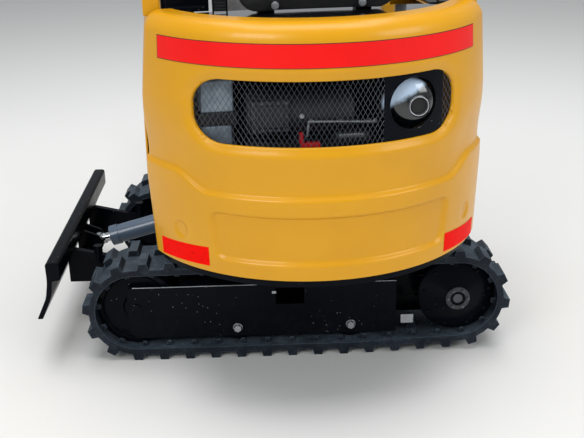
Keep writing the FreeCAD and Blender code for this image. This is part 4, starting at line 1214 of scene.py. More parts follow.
    def turn_in(self, piece: Object) -> None:
        """Rolls the selected edge of the opening inwards, a step at a time.

        Args:
            piece: The cover.
        """
        x0, x1, z0, z1 = self.opening
        reach, flat = (x1 - x0) / 2 - self.opening_corner, (z1 - z0) / 2 - self.opening_corner
        middle = Vector(((x0 + x1) / 2, 0, (z0 + z1) / 2))
        bpy.ops.object.mode_set(mode="EDIT")
        for inward, deep in self.lip:
            bpy.ops.mesh.extrude_edges_move(TRANSFORM_OT_translate={"value": (0, 0, 0)})
            bpy.ops.object.mode_set(mode="OBJECT")
            for v in piece.data.vertices:
                if v.select:
                    dx, dz = v.co.x - middle.x, v.co.z - middle.z
                    way = Vector((math.copysign(max(abs(dx) - reach, 0), dx), 0,
                                  math.copysign(max(abs(dz) - flat, 0), dz))).normalized()
                    back = Vector((v.co.x, v.co.y - self.centre_y, 0)).normalized()
                    v.co -= way * inward + back * deep
            bpy.ops.object.mode_set(mode="EDIT")
        bpy.ops.object.mode_set(mode="OBJECT")

    def draw_edge(self, piece: Object) -> None:
        """Moves the selected edge of the opening onto its exact line.

        Args:
            piece: The cover.
        """
        for e in piece.data.edges:
            if not e.select:
                continue
            for v in (piece.data.vertices[i] for i in e.vertices):
                here = float(self.from_opening(v.co.x, v.co.z))
                way = Vector((float(self.from_opening(v.co.x + 1e-4, v.co.z)) - here,
                              float(self.from_opening(v.co.x, v.co.z + 1e-4)) - here)).normalized()
                span = math.hypot(v.co.x, v.co.y - self.centre_y)
                x, z = v.co.x - way.x * here, v.co.z - way.y * here
                v.co = (x, self.centre_y - math.sqrt(span ** 2 - x ** 2), z)

    def patch(self, name: str, turns: tuple[float, float], low: tuple[float, float],
              high: tuple[float, float], lift: float, thick: float = 0.0004) -> Object:
        """A thin film stuck on the shell.

        Args:
            name: The piece's name.
            turns: Its ends, in degrees round the rear.
            low: Height of its lower edge at those ends.
            high: Height of its upper edge at those ends.
            lift: Its height over the shell.
            thick: Its thickness.

        Returns:
            The piece.
        """
        across = max(8, int(abs(turns[1] - turns[0]) * 1.5))
        piece = Bench.sheet(name, across, 8)
        u, v = Bench.points(piece)[:, 0], Bench.points(piece)[:, 1]
        z = (low[0] + (low[1] - low[0]) * u) * (1 - v) + (high[0] + (high[1] - high[0]) * u) * v
        turn = np.radians(turns[0] + (turns[1] - turns[0]) * u)
        _, radius = self.size_at(z)
        places = np.column_stack([radius * np.sin(turn), self.centre_y - radius * np.cos(turn), z])
        Bench.move(piece, self.lay(places, lift))
        Bench.modify(piece, "SOLIDIFY", thickness=thick, offset=1)
        return Bench.shade(piece)

    def line_inside(self, piece: Object) -> None:
        """Gives the inner faces of the cover their dark lining.

        Args:
            piece: The finished cover.
        """
        piece.data.materials.append(Look.LINER.material())
        for face in piece.data.polygons:
            out = Vector((face.center.x, face.center.y - self.centre_y, 0)).normalized()
            inner = face.normal.dot(out) < -0.3 or (face.normal.z < -0.5 and face.center.z > 0.96)
            face.material_index = 1 if inner and face.center.y < self.front_y - 0.002 else 0

    def build(self) -> None:
        """Builds the cover and what is stuck on it."""
        cover = Fitter.fit(self.shell(), "bonnet", self.finish, ["engine_bonnet"])
        self.line_inside(cover)
        first, last, low, high = self.stripe
        stripe = self.patch("bonnet_stripe", (first, last), (low, low), (high, high), 0.0007)
        Fitter.fit(stripe, "bonnet", Look.RED)
        ends, sides = self.stripe_edge
        edge = self.patch("bonnet_stripe_edge", (first - ends, last + ends), (low - sides, low - sides),
                          (high + sides, high + sides), 0.0002)
        Fitter.fit(edge, "bonnet", Look.MAROON)
        for name, turns, lift in self.tapes:
            low_side, high_side = (tuple(z + lift for z in side) for side in (self.tape_low, self.tape_high))
            tape = self.patch(f"bonnet_reflector_{name}", turns, low_side, high_side, 0.0004)
            Fitter.fit(tape, "bonnet", Look.REFLECTOR)


@dataclass
class Grille:
    """Expanded metal behind the opening, with a plain field and a rolled hole for the silencer's end."""

    radius: float = 0.4525
    centre_y: float = REAR_CENTRE
    half: float = 0.334
    low: float = 0.703
    high: float = 0.889
    cell: tuple[float, float] = (0.0118, 0.0202)
    wire: float = 0.0014
    sheet: float = 0.0024
    roll: float = 0.0028
    plain: tuple[float, float] = (0.118, 0.257)
    silencer: tuple[float, float] = (0.184, 0.803)
    hole: float = 0.0625

    def lay(self, piece: Object, radius: float) -> None:
        """Lays a flat piece, X across and Z up, on the sheet's cylinder.

        Args:
            piece: The piece, with its depth along Y.
            radius: The cylinder's radius.
        """
        places = Bench.points(piece)
        turn = np.arcsin(np.clip(places[:, 0] / radius, -1, 1))
        span = radius + places[:, 1]
        Bench.move(piece, np.column_stack([span * np.sin(turn), self.centre_y - span * np.cos(turn),
                                           places[:, 2]]))

    def lattice(self) -> Object:
        """The diamonds.

        Returns:
            The piece.
        """
        wide, tall = self.cell
        across = int(2 * self.half / wide) + 2
        up = int((self.high - self.low) / tall) + 2
        count = across + up
        piece = Bench.sheet("grille_lattice", count, count)
        flat = Bench.points(piece) * count
        x = (flat[:, 0] - flat[:, 1]) * wide / 2
        z = (self.low + self.high) / 2 + (flat[:, 0] + flat[:, 1] - count) * tall / 2
        Bench.move(piece, np.column_stack([x, np.zeros(len(x)), z]))

        def outside(face: Any) -> bool:
            """Whether a diamond is past the sheet's edge or in the plain field."""
            x, _, z = face.center
            in_field = self.plain[0] - 0.004 < x < self.plain[1] + 0.004
            level = self.low + tall / 2 < z < self.high - tall / 2
            return abs(x) > self.half - wide / 2 or not level or in_field

        with Bench.edit(piece, faces=outside):
            bpy.ops.mesh.delete(type="FACE")
        Bench.modify(piece, "WIREFRAME", thickness=self.wire, use_even_offset=False, use_boundary=True)
        self.lay(piece, self.radius)
        return Bench.shade(piece)

    def plain_field(self) -> Object:
        """The plain sheet round the silencer.

        Returns:
            The piece.
        """
        piece = Bench.sheet("grille_plain_field", 60, 74)
        flat = Bench.points(piece)
        x0, x1 = self.plain[0] - 0.008, self.plain[1] + 0.008
        x = x0 + (x1 - x0) * flat[:, 0]
        z = self.low + (self.high - self.low) * flat[:, 1]
        Bench.move(piece, np.column_stack([x, np.zeros(len(x)), z]))
        cx, cz = self.silencer
        edge = self.hole + 0.001
        with Bench.edit(piece, faces=lambda f: math.hypot(f.center.x - cx, f.center.z - cz) < edge):
            bpy.ops.mesh.delete(type="FACE")
        self.lay(piece, self.radius)
        Bench.modify(piece, "SOLIDIFY", thickness=self.sheet, offset=0)
        return Bench.shade(piece)

    def rolled_ring(self) -> Object:
        """The rolled edge of the hole.

        Returns:
            The piece.
        """
        cx, cz = self.silencer
        bpy.ops.object.select_all(action="DESELECT")
        bpy.ops.mesh.primitive_torus_add(major_radius=self.hole, minor_radius=self.roll, major_segments=64,
                                         minor_segments=12, location=(cx, 0, cz),
                                         rotation=(math.pi / 2, 0, 0))
        piece = Bench._named("grille_hole_ring")
        self.lay(piece, self.radius)
        Bench.outward(piece)
        return Bench.shade(piece, 60)

    def build(self) -> None:
        """Builds the grille."""
        Fitter.fit(self.lattice(), "bonnet", Look.GRILLE, ["mesh_grille"])
        Fitter.fit(self.plain_field(), "bonnet", Look.BLACK)
        Fitter.fit(self.rolled_ring(), "bonnet", Look.BLACK)


@dataclass
class Silencer:
    """The glossy domed end of the silencer and its tailpipe, seen through the grille's hole, with a dark plug
    of painted shade inside the pipe.
    """

    centre: tuple[float, float] = (0.177, 0.797)
    radius: float = 0.0665
    foot_y: float = -0.670
    skirt: float = 0.024
    rise: float = 0.032
    tail: tuple[float, float] = (0.198, 0.794)
    tail_radius: float = 0.0235
    tail_y: float = -0.692
    # Ends of the dark plug in the pipe, painted shade where its hollow runs deep
    shade_plug_y: tuple[float, float] = (-0.715, -0.7275)

    def build(self) -> None:
        """Builds the dome, the pipe's end and the dark plug of painted shade in it."""
        x, z = self.centre
        r = self.radius
        profile = [(0.0, 0.0), (r, 0.0), (r, self.skirt)]
        profile += [(r * math.cos(t), self.skirt + self.rise * math.sin(t))
                    for t in np.linspace(0.1, math.pi / 2, 14)]
        profile[-1] = (0.0, profile[-1][1])
        dome = Bench.turned("silencer_dome", profile, (x, self.foot_y, z), (0, -1, 0), 72)
        # The dome's finish paints the sky's reflection at its upper left.
        Fitter.fit(Bench.shade(dome, 40), "house", Look.DOME)
        x, z = self.tail
        r = self.tail_radius
        profile = [(r, 0.0), (r, 0.043), (r - 0.001, 0.044), (r - 0.002, 0.044), (r - 0.003, 0.043),
                   (r - 0.003, 0.0), (r, 0.0)]
        tail = Bench.turned("silencer_tailpipe", profile, (x, self.tail_y, z), (0, -1, 0))
        Fitter.fit(Bench.shade(tail, 50), "house", Look.ZINC)
        # Painted shade: a dark plug a little way into the pipe stands in for the shade of its deep hollow.
        start, end = ((x, y, z) for y in self.shade_plug_y)
        shade_plug = Bench.rod("silencer_pipe_shade_plug", start, end, r - 0.0031)
        Fitter.fit(Bench.soften(shade_plug, 0.001), "house", Look.LINER)


class Hardware(Enum):
    """The bolts that the machine is put together with: width across flats and height, in metres."""

    TINY = (0.005, 0.0025)
    SMALL = (0.008, 0.0035)
    MEDIUM = (0.013, 0.006)
    LARGE = (0.019, 0.009)


@dataclass
class Bolts:
    """Hexagon heads on washers, modelled once for each size and copied."""

    body: str
    name: str
    size: Hardware
    ahead: Point
    places: Sequence[Point]
    finish: Finish = field(default=Look.ZINC)

    def build(self) -> None:
        """Builds the pattern bolt and its copies, and joins them."""
        wide, tall = self.size.value
        washer = Bench.rod(self.name + "_washer", (0, 0, -0.001), (0, 0, 0.0018), wide * 0.72, sides=32)
        head = Bench.rod(self.name + "_head", (0, 0, 0.0018), (0, 0, 0.0018 + tall), wide / 1.732, sides=6)
        Bench.soften(washer, 0.0004, 1)
        Bench.soften(head, 0.0009, 2)
        pattern = Bench.join(self.name + "_pattern", [head, washer])
        turn = Vector((0, 0, 1)).rotation_difference(Vector(self.ahead)).to_matrix().to_4x4()
        made = Bench.copies(pattern, [Matrix.Translation(place) @ turn for place in self.places])
        Bench.discard(pattern)
        Fitter.fit(Bench.join(self.name, made), self.body, self.finish)


@dataclass
class TrackSide:
    """What the two track frames carry on their outer faces: axle bolts, brackets and the drive's hub, with a
    thin pale rod along each frame's top that paints a highlight, and a black plate at its rear end that
    paints shade.
    """

    turn: float = TRACKS_TURN
    face: float = 0.392
    rollers: tuple[float, float] = (-0.171, 0.152)
    roller_z: float = 0.080
    drive: tuple[float, float] = (0.452, 0.162)
    hub_circle: float = 0.0275
    hub_bolts_y: float = 0.4185
    cap: Sequence[tuple[float, float]] = ((0.0, -0.001), (0.0135, -0.001), (0.0135, 0.003), (0.0, 0.003))
    cap_y: float = 0.414
    cover_circle: float = 0.092
    cover_bolts_y: float = 0.3895
    cover_turn: float = 0.2
    ring: Sequence[tuple[float, float]] = (
        (0.0215, 0.0), (0.034, 0.0), (0.034, 0.0045), (0.031, 0.006), (0.0215, 0.006), (0.0215, 0.0))
    ring_y: float = 0.4125
    # Ends along the tracks and height of the thin pale rod that paints a highlight on the frame's top edge
    edge_highlight: tuple[float, float, float] = (-0.462, 0.281, 0.2122)
    edge_highlight_y: float = 0.3915
    edge_highlight_radius: float = 0.0013
    # Corners of the black plate that paints shade in the gap at the frame's rear end, and its place across
    skirt: tuple[Point, Point] = ((0.280, -0.002, 0.060), (0.388, 0.002, 0.114))
    gap_shade_plate_y: float = 0.274
    # Place along the tracks, height, width and tallness
    stays: tuple[tuple[float, float, float, float], ...] = (
        (0.313, 0.093, 0.036, 0.027), (-0.065, 0.188, 0.012, 0.008))

    def at(self, x: float, y: float, z: float) -> Point:
        """A place on the turned undercarriage.

        Args:
            x: Along the tracks.
            y: Across them.
            z: Height.

        Returns:
            The place in the machine's frame.
        """
        turn = math.radians(self.turn)
        return (x * math.cos(turn) - y * math.sin(turn), x * math.sin(turn) + y * math.cos(turn), z)

    def circle(self, radius: float, y: float, turns: Sequence[float]) -> list[Point]:
        """Places round the drive's axle.

        Args:
            radius: The circle's radius.
            y: Where it is across the tracks.
            turns: The angle of each place.

        Returns:
            The places in the machine's frame.
        """
        x0, z0 = self.drive
        return [self.at(x0 + radius * math.cos(t), y, z0 + radius * math.sin(t)) for t in turns]

    def hub(self, side: int, word: str) -> None:
        """The drive's hub with its bolts, its cap and the ring round them, and the cover's bolts.

        Args:
            side: -1 for the left, 1 for the right.
            word: The side's name.
        """
        x0, z0 = self.drive
        way = self.at(0, side, 0)
        bolts = self.circle(self.hub_circle, side * self.hub_bolts_y, np.arange(6) * math.pi / 3)
        Bolts("undercarriage", f"hub_bolts_{word}", Hardware.SMALL, way, bolts, Look.DARK_BOLT).build()
        cap = Bench.turned(f"hub_cap_{word}", self.cap, self.at(x0, side * self.cap_y, z0), way, 36)
        Fitter.fit(Bench.soften(cap, 0.001), "undercarriage", Look.DARK_BOLT)
        bolts = self.circle(self.cover_circle, side * self.cover_bolts_y,
                            np.arange(9) * 2 * math.pi / 9 + self.cover_turn)
        Bolts("undercarriage", f"cover_bolts_{word}", Hardware.SMALL, way, bolts, Look.BLACK).build()
        ring = Bench.turned(f"hub_ring_{word}", self.ring, self.at(x0, side * self.ring_y, z0), way, 48)
        Fitter.fit(Bench.shade(ring, 30), "undercarriage", Look.PLASTIC)

    def edges(self, side: int, word: str) -> None:
        """A thin pale rod along the frame's top, a painted highlight, and a black plate at its rear end,
        painted shade where the floor would show through the gap.

        Args:
            side: -1 for the left, 1 for the right.
            word: The side's name.
        """
        first, last, level = self.edge_highlight
        start, end = (self.at(x, side * self.edge_highlight_y, level) for x in (first, last))
        # Painted highlight: a thin pale rod stands in for the sky's reflection on the frame's top edge.
        edge_highlight = Bench.rod(f"frame_bead_{word}", start, end, self.edge_highlight_radius, sides=12)
        Fitter.fit(Bench.shade(edge_highlight, 60), "undercarriage", Look.ZINC)
        # Painted shade: a black plate hides the floor seen through the gap at the frame's rear end.
        skirt = Bench.block(f"frame_skirt_{word}", *self.skirt)
        Bench.soften(skirt, 0.001)
        skirt.data.transform(Matrix.Rotation(math.radians(self.turn), 4, "Z")
                             @ Matrix.Translation((0, side * self.gap_shade_plate_y, 0)))
        Fitter.fit(skirt, "undercarriage", Look.BLACK)

    def build(self) -> None:
        """Builds both sides."""
        for side, word in ((-1, "left"), (1, "right")):
            axles = [self.at(x, side * self.face, self.roller_z) for x in self.rollers]
            Bolts("undercarriage", f"axle_bolts_{word}", Hardware.LARGE, self.at(0, side, 0), axles).build()
            self.hub(side, word)
            self.edges(side, word)
            self.bracket(side, word)

    def bracket(self, side: int, word: str) -> None:
        """The pressed stay at the rear end of the frame and the small tab at its top.

        Args:
            side: -1 for the left, 1 for the right.
            word: The side's name.
        """
        pieces = []
        for number, (x, z, wide, tall) in enumerate(self.stays):
            low = (x - wide / 2, -0.0015, z - tall / 2)
            tab = Bench.block(f"stay_{word}_{number}", low, (x + wide / 2, 0.0015, z + tall / 2))
            Bench.soften(tab, 0.001)
            pieces.append(tab)
        stay = Bench.join(f"frame_stays_{word}", pieces)
        stay.data.transform(Matrix.Rotation(math.radians(self.turn), 4, "Z")
                            @ Matrix.Translation((0, side * (self.face + 0.0015), 0)))
        Fitter.fit(stay, "undercarriage", Look.ZINC)


@dataclass
class CoreTips:
    """Ends of the steel cores that stand inside each rubber belt, one at each pitch round the loop."""

    turn: float = TRACKS_TURN
    idler: tuple[float, float] = (-0.454, 0.148)
    sprocket: tuple[float, float] = (0.452, 0.160)
    bend_x: float = 0.152
    radius: float = 0.112
    count: int = 36
    reach: tuple[float, float] = (0.394, 0.403)
    base: float = 0.020
    tip: float = 0.011
    height: float = 0.013

    def stops(self) -> list[tuple[float, float, float]]:
        """Places round the inside of the belt.

        Returns:
            X, Z and the inward direction's angle of each.
        """
        (ix, iz), (sx, sz), r = self.idler, self.sprocket, self.radius
        low = iz - r
        climb = math.atan2(sz - low, sx - self.bend_x) - math.asin(r / math.hypot(sx - self.bend_x, sz - low))
        tilt = math.atan2(sz - iz, sx - ix)
        line: list[tuple[float, float]] = [(x, low) for x in np.linspace(ix, self.bend_x, 60)]
        touch = (sx + r * math.sin(climb), sz - r * math.cos(climb))
        line += [(x, low + (touch[1] - low) * (x - self.bend_x) / (touch[0] - self.bend_x))
                 for x in np.linspace(self.bend_x, touch[0], 30)[1:]]
        line += [(sx + r * math.cos(t), sz + r * math.sin(t))
                 for t in np.linspace(climb - math.pi / 2, math.pi / 2 + tilt, 60)[1:]]
        line += [(ix + r * math.cos(t), iz + r * math.sin(t))
                 for t in np.linspace(math.pi / 2 + tilt, 1.5 * math.pi, 60)]
        track = np.array(line)
        along = np.concatenate([[0], np.cumsum(np.hypot(*np.diff(track, axis=0).T))])
        wanted = (np.arange(self.count) + 0.25) / self.count * along[-1]
        here, ahead = (np.stack([np.interp(place, along, track[:, k]) for k in (0, 1)], 1)
                       for place in (wanted, (wanted + 0.002) % along[-1]))
        return [(x, z, math.atan2(dz, dx)) for (x, z), (dx, dz) in zip(here, ahead - here)]

    def build(self) -> None:
        """Builds one tip and its copies for each belt."""
        stops = self.stops()
        for side, word in ((-1, "left"), (1, "right")):
            y0, y1 = sorted((side * self.reach[0], side * self.reach[1]))
            tip = Bench.block(f"core_tip_{word}", (-self.base / 2, y0, -0.002),
                              (self.base / 2, y1, self.height))
            places = Bench.points(tip)
            places[places[:, 2] > 0, 0] *= self.tip / self.base
            Bench.move(tip, places)
            Bench.soften(tip, 0.0015)
            turned = Matrix.Rotation(math.radians(self.turn), 4, "Z")
            made = Bench.copies(tip, [turned @ Matrix.Translation((x, 0, z)) @ Matrix.Rotation(-angle, 4, "Y")
                                      for x, z, angle in stops])
            Bench.discard(tip)
            Fitter.fit(Bench.join(f"core_tips_{word}", made), "undercarriage", Look.TRACK)


@dataclass
class EngineBay:
    """What shows of the engine through the grille: radiator tanks with a dark block of painted shade between
    them, a filter plate, a rail and a red cap.
    """

    tanks: tuple[tuple[Point, Point], ...] = (
        ((-0.296, -0.634, 0.778), (-0.219, -0.612, 0.856)),
        ((-0.299, -0.634, 0.698), (-0.224, -0.612, 0.747)))
    # Corners of the dark block in the gap between the tanks, painted shade
    tank_gap_shade: tuple[Point, Point] = ((-0.304, -0.636, 0.747), (-0.212, -0.606, 0.779))
    plate: tuple[Point, Point] = ((-0.184, -0.684, 0.736), (-0.096, -0.668, 0.812))
    rail: tuple[Point, Point] = ((-0.052, -0.682, 0.758), (0.104, -0.682, 0.750))
    rail_radius: float = 0.0035
    bolt_row: tuple[float, float, int] = (0.030, 0.083, 7)
    bolts: tuple[Point, ...] = ((0.118, -0.682, 0.800), (0.108, -0.682, 0.752), (-0.066, -0.682, 0.772))
    flange: tuple[Point, Point] = ((0.016, -0.664, 0.700), (0.100, -0.640, 0.722))
    red: tuple[tuple[Point, Point], ...] = (
        ((-0.070, -0.668, 0.700), (-0.060, -0.656, 0.728)),
        ((-0.066, -0.668, 0.686), (-0.020, -0.650, 0.702)))

    def build(self) -> None:
        """Builds the pieces on the engine's rear side."""
        tanks = [Bench.soften(Bench.block("tank", low, high), 0.006, 3) for low, high in self.tanks]
        Fitter.fit(Bench.join("radiator_tanks", tanks), "house", Look.RADIATOR)
        # Painted shade: a dark block fills the gap between the two tanks.
        tank_gap_shade = Bench.block("radiator_tank_gap_shade", *self.tank_gap_shade)
        Fitter.fit(Bench.soften(tank_gap_shade, 0.003), "house", Look.LINER)
        low, high = self.plate
        plate = Bench.block("filter_plate", low, high)
        with Bench.edit(plate, faces=lambda f: f.normal.y < -0.9):
            bpy.ops.mesh.inset(thickness=0.009)
            bpy.ops.mesh.inset(thickness=0.004, depth=0.004)
        Fitter.fit(Bench.soften(plate, 0.002), "house", Look.ENGINE)
        places = [(x, low[1] - 0.001, z) for x in np.linspace(low[0] + 0.006, high[0] - 0.006, 5)
                  for z in (low[2] + 0.006, high[2] - 0.006)]
        places += [(x, low[1] - 0.001, (low[2] + high[2]) / 2) for x in (low[0] + 0.006, high[0] - 0.006)]
        Bolts("house", "filter_plate_bolts", Hardware.TINY, (0, -1, 0), places, Look.DARK_BOLT).build()
        start, end = (Vector(p) for p in self.rail)
        rail = [Bench.rod("rail", tuple(start), tuple(end), self.rail_radius, sides=16)]
        for share in (0.05, 0.5, 0.95):
            foot = start.lerp(end, share)
            rail.append(Bench.rod("rail", tuple(foot), (foot.x, foot.y + 0.012, foot.z), 0.005, sides=16))
        drop = Vector((start.x + 0.002, start.y, start.z))
        rail.append(Bench.rod("rail", tuple(drop), (drop.x - 0.004, drop.y, drop.z - 0.036), 0.003, sides=16))
        Fitter.fit(Bench.join("fuel_rail", [Bench.soften(r, 0.0008, 1) for r in rail]), "house", Look.ZINC)
        places = [(x, self.flange[0][1], 0.7135) for x in np.linspace(*self.bolt_row)]
        Bolts("house", "manifold_bolts", Hardware.SMALL, (0, -1, 0), [*places, *self.bolts]).build()
        shelf = Bench.block("manifold_flange", *self.flange)
        Fitter.fit(Bench.soften(shelf, 0.002), "house", Look.ENGINE)
        caps = [Bench.soften(Bench.block("cap", low, high), 0.003) for low, high in self.red]
        Fitter.fit(Bench.join("red_terminal_cap", caps), "house", Look.RED_RUBBER)


@dataclass
class RearDeck:
    """Black moulded deck inside the bonnet's rim, with its vent and the boxes on the side covers."""

    centre_y: float = REAR_CENTRE
    radius: float = 0.371
    half: float = 0.340
    front_y: float = -0.466
    top: float = 0.984
    wall: float = 0.005
    edge: float = 0.03
    drop: float = 0.012
    crown: float = 0.004
    vent_posts: tuple[float, float] = (-0.2475, -0.2145)
    vent_low: float = 0.9895
    vent_pitch: float = 0.0075
    vent_slant: float = 0.22
    cap: tuple[Point, Point] = ((0.293, -0.462, 0.982), (0.372, -0.090, 0.9875))
    box: tuple[Point, Point] = ((-0.371, -0.455, 0.986), (-0.256, -0.330, 1.062))
    latch: tuple[Point, Point] = ((-0.322, -0.4585, 1.020), (-0.304, -0.4515, 1.030))

    def deck(self) -> Object:
        """The deck, a little crowned, with a rolled rear edge.

        Returns:
            The piece.
        """
        piece = Bench.sheet("rear_deck", 72, 14)
        flat = Bench.points(piece)
        x = (flat[:, 0] * 2 - 1) * self.half
        rear = self.centre_y - np.sqrt(self.radius ** 2 - x ** 2)
        y = rear + (self.front_y - rear) * flat[:, 1]
        near = np.minimum((y - rear) / self.edge, 1.0)
        z = self.top - self.drop * (1 - near) ** 2 + self.crown * (1 - (x / self.half) ** 2)
        Bench.move(piece, np.column_stack([x, y, z]))
        Bench.modify(piece, "SOLIDIFY", thickness=self.wall, offset=-1)
        return Bench.soften(piece, 0.0015)

    def louvres(self) -> Object:
        """Six slanted blades between two posts at the left of the backrest.

        Returns:
            The piece.
        """
        pieces = [Bench.block("vent_post", (x - 0.0015, -0.4905, 0.986), (x + 0.0015, -0.4665, 1.030))
                  for x in self.vent_posts]
        for row in range(6):
            z = self.vent_low + row * self.vent_pitch
            blade = Bench.block("vent_blade", (-0.247, -0.489, z), (-0.215, -0.468, z + 0.0018))
            places = Bench.points(blade)
            places[:, 2] += (places[:, 1] + 0.489) * self.vent_slant
            Bench.move(blade, places)
            pieces.append(blade)
        for piece in pieces:
            Bench.soften(piece, 0.0005, 1)
        return Bench.join("deck_vent", pieces)

    def boxes(self) -> None:
        """Caps on the tops of the side covers, and the black box on the left one."""
        near, far = self.cap
        for side, word in ((-1, "left"), (1, "right")):
            x0, x1 = sorted((side * near[0], side * far[0]))
            cap = Bench.block(f"side_cap_{word}", (x0, *near[1:]), (x1, *far[1:]))
            Fitter.fit(Bench.soften(cap, 0.002), "house", Look.BLACK)
        box = Bench.block("service_box", *self.box)
        with Bench.edit(box, faces=lambda f: f.normal.y < -0.9):
            bpy.ops.mesh.inset(thickness=0.010)
            bpy.ops.mesh.inset(thickness=0.003, depth=-0.003)
        Fitter.fit(Bench.soften(box, 0.003, 3), "house", Look.BLACK)
        latch = Bench.block("service_box_latch", *self.latch)
        Fitter.fit(Bench.soften(latch, 0.0015), "house", Look.ZINC)

    def build(self) -> None:
        """Builds the deck and what is round it."""
        Fitter.fit(self.deck(), "house", Look.GLASSY)
        Fitter.fit(self.louvres(), "house", Look.BLACK)
        self.boxes()


@dataclass
class Seat:
    """Vinyl seat: padded backrest and cushion with sewn channels, and the backrest's fixings."""

    voxel: float = 0.0065
    cap: float = 0.010
    shrink: float = 0.004
    pressure: float = 4.0
    frames: int = 20
    groove: float = 0.005
    back_channels: tuple[float, ...] = (1.065, 1.125, 1.185, 1.245)
    cushion_channels: tuple[float, ...] = (-0.345, -0.285, -0.225, -0.165)

    def padded(self, name: str, node: str, body: str, channels: Callable[[np.ndarray], np.ndarray]) -> Object:
        """A pad blown up by a cloth simulation from the solid that it fills.

        Args:
            name: The piece's name.
            node: The CAD node that it stands for.
            body: The body it rides on.
            channels: How deep the sewn channels press the skin in at each point, in metres.

        Returns:
            The pad.
        """
        source = frame["nodes"][node]
        piece = bpy.data.objects.new(name, source.data.copy())
        bpy.context.scene.collection.objects.link(piece)
        Bench.outward(piece)
        Bench.modify(piece, "REMESH", mode="VOXEL", voxel_size=self.voxel)
        places = Bench.points(piece)
        middle = (places.min(0) + places.max(0)) / 2
        half = (places.max(0) - places.min(0)) / 2
        places = middle + (places - middle) * (1 - self.shrink / half)
        Bench.move(piece, places)
        self.blow_up(piece)
        Bench.modify(piece, "SMOOTH", factor=0.5, iterations=3)
        Bench.modify(piece, "SUBSURF", levels=1, render_levels=1)
        places = Bench.points(piece)
        normals = np.empty(len(places) * 3)
        piece.data.vertices.foreach_get("normal", normals)
        places -= normals.reshape(-1, 3) * channels(places)[:, None]
        Bench.move(piece, places)
        Bench.shade(piece, 60)
        return Fitter.fit(piece, body, Look.VINYL, [node])

    def blow_up(self, piece: Object) -> None:
        """Runs the cloth simulation on a pad and keeps its shape.

        Args:
            piece: The pad.
        """
        before = Bench.points(piece)
        Bench.pick(piece)
        cloth = piece.modifiers.new("Cloth", "CLOTH")
        cloth.settings.quality = 5
        cloth.settings.use_pressure = True
        cloth.settings.uniform_pressure_force = self.pressure
        cloth.settings.effector_weights.gravity = 0.0
        cloth.point_cache.frame_start = 1
        cloth.point_cache.frame_end = self.frames
        scene = bpy.context.scene
        for number in range(1, self.frames + 1):
            scene.frame_set(number)
        bpy.ops.object.modifier_apply(modifier=cloth.name)
        scene.frame_set(1)
        shift = Bench.points(piece) - before
        length = np.linalg.norm(shift, axis=1)
        Bench.move(piece, before + shift * np.minimum(1, self.cap / np.maximum(length, 1e-9))[:, None])

    @staticmethod
    def grooves(value: np.ndarray, lines: Sequence[float], wide: float, deep: float) -> np.ndarray:
        """Rounded grooves along lines.

        Args:
            value: The coordinate across the lines.
            lines: Where they run.
            wide: Half their width.
            deep: Their depth.

        Returns:
            The depth at each point.
        """
        depth = np.zeros(len(value))
        for line in lines:
            depth = np.maximum(depth, deep * np.exp(-((value - line) / wide) ** 2))
        return depth

    def build(self) -> None:
        """Builds the backrest, the cushion and the fixings."""
        def back(places: np.ndarray) -> np.ndarray:
            """Four level channels on the backrest's front."""
            front = step(places[:, 1], -0.512, -0.500) * (1 - step(np.abs(places[:, 0]), 0.150, 0.178))
            front *= step(places[:, 2], 1.00, 1.03) * (1 - step(places[:, 2], 1.29, 1.32))
            return self.grooves(places[:, 2], self.back_channels, self.groove, self.groove) * front

        def cushion(places: np.ndarray) -> np.ndarray:
            """Four channels across the cushion's top."""
            top = step(places[:, 2], 0.94, 0.955) * (1 - step(np.abs(places[:, 0]), 0.125, 0.150))
            top *= step(places[:, 1], -0.43, -0.40) * (1 - step(places[:, 1], -0.11, -0.08))
            return self.grooves(places[:, 1], self.cushion_channels, self.groove, self.groove) * top

        self.padded("seat_backrest", "seat_back", "house", back)
        self.padded("seat_pad", "seat_cushion", "house", cushion)
        Bolts("house", "backrest_bolts", Hardware.MEDIUM, (0, -1, 0),
              [(x, -0.5435, z) for x in (-0.105, 0.105) for z in (1.006, 1.040)]).build()


@dataclass
class Controls:
    """What the operator touches: bellows at the joysticks and ribs on the pedals."""

    stick_x: float = 0.344
    stick_z: float = 0.898
    rib_x: tuple[float, float] = (0.034, 0.091)
    rib_y: float = 0.170
    rib_width: float = 0.005
    rib_pitch: float = 0.0135
    rib_z: tuple[float, float] = (0.5375, 0.5405)

    def build(self) -> None:
        """Builds the bellows and the pedals' ribs."""
        profile = [(0.0, 0.0), (0.034, 0.0)]
        for row in range(5):
            radius = 0.033 - row * 0.0045
            profile += [(radius, 0.004 + row * 0.010), (radius - 0.007, 0.009 + row * 0.010)]
        profile += [(0.0095, 0.053), (0.0, 0.053)]
        low, high = self.rib_z
        for side, word in ((-1, "left"), (1, "right")):
            foot = (side * self.stick_x, -0.003, self.stick_z)
            boot = Bench.turned(f"joystick_boot_{word}", profile, foot, (0, 0.05, 1))
            Fitter.fit(Bench.soften(boot, 0.0012), "house", Look.PLASTIC)
            ribs = []
            x0, x1 = sorted(side * x for x in self.rib_x)
            for row in range(6):
                y = self.rib_y + row * self.rib_pitch
                rib = Bench.block("pedal_rib", (x0, y, low), (x1, y + self.rib_width, high))
                ribs.append(Bench.soften(rib, 0.001, 1))
            Fitter.fit(Bench.join(f"pedal_ribs_{word}", ribs), "house", Look.STEEL)


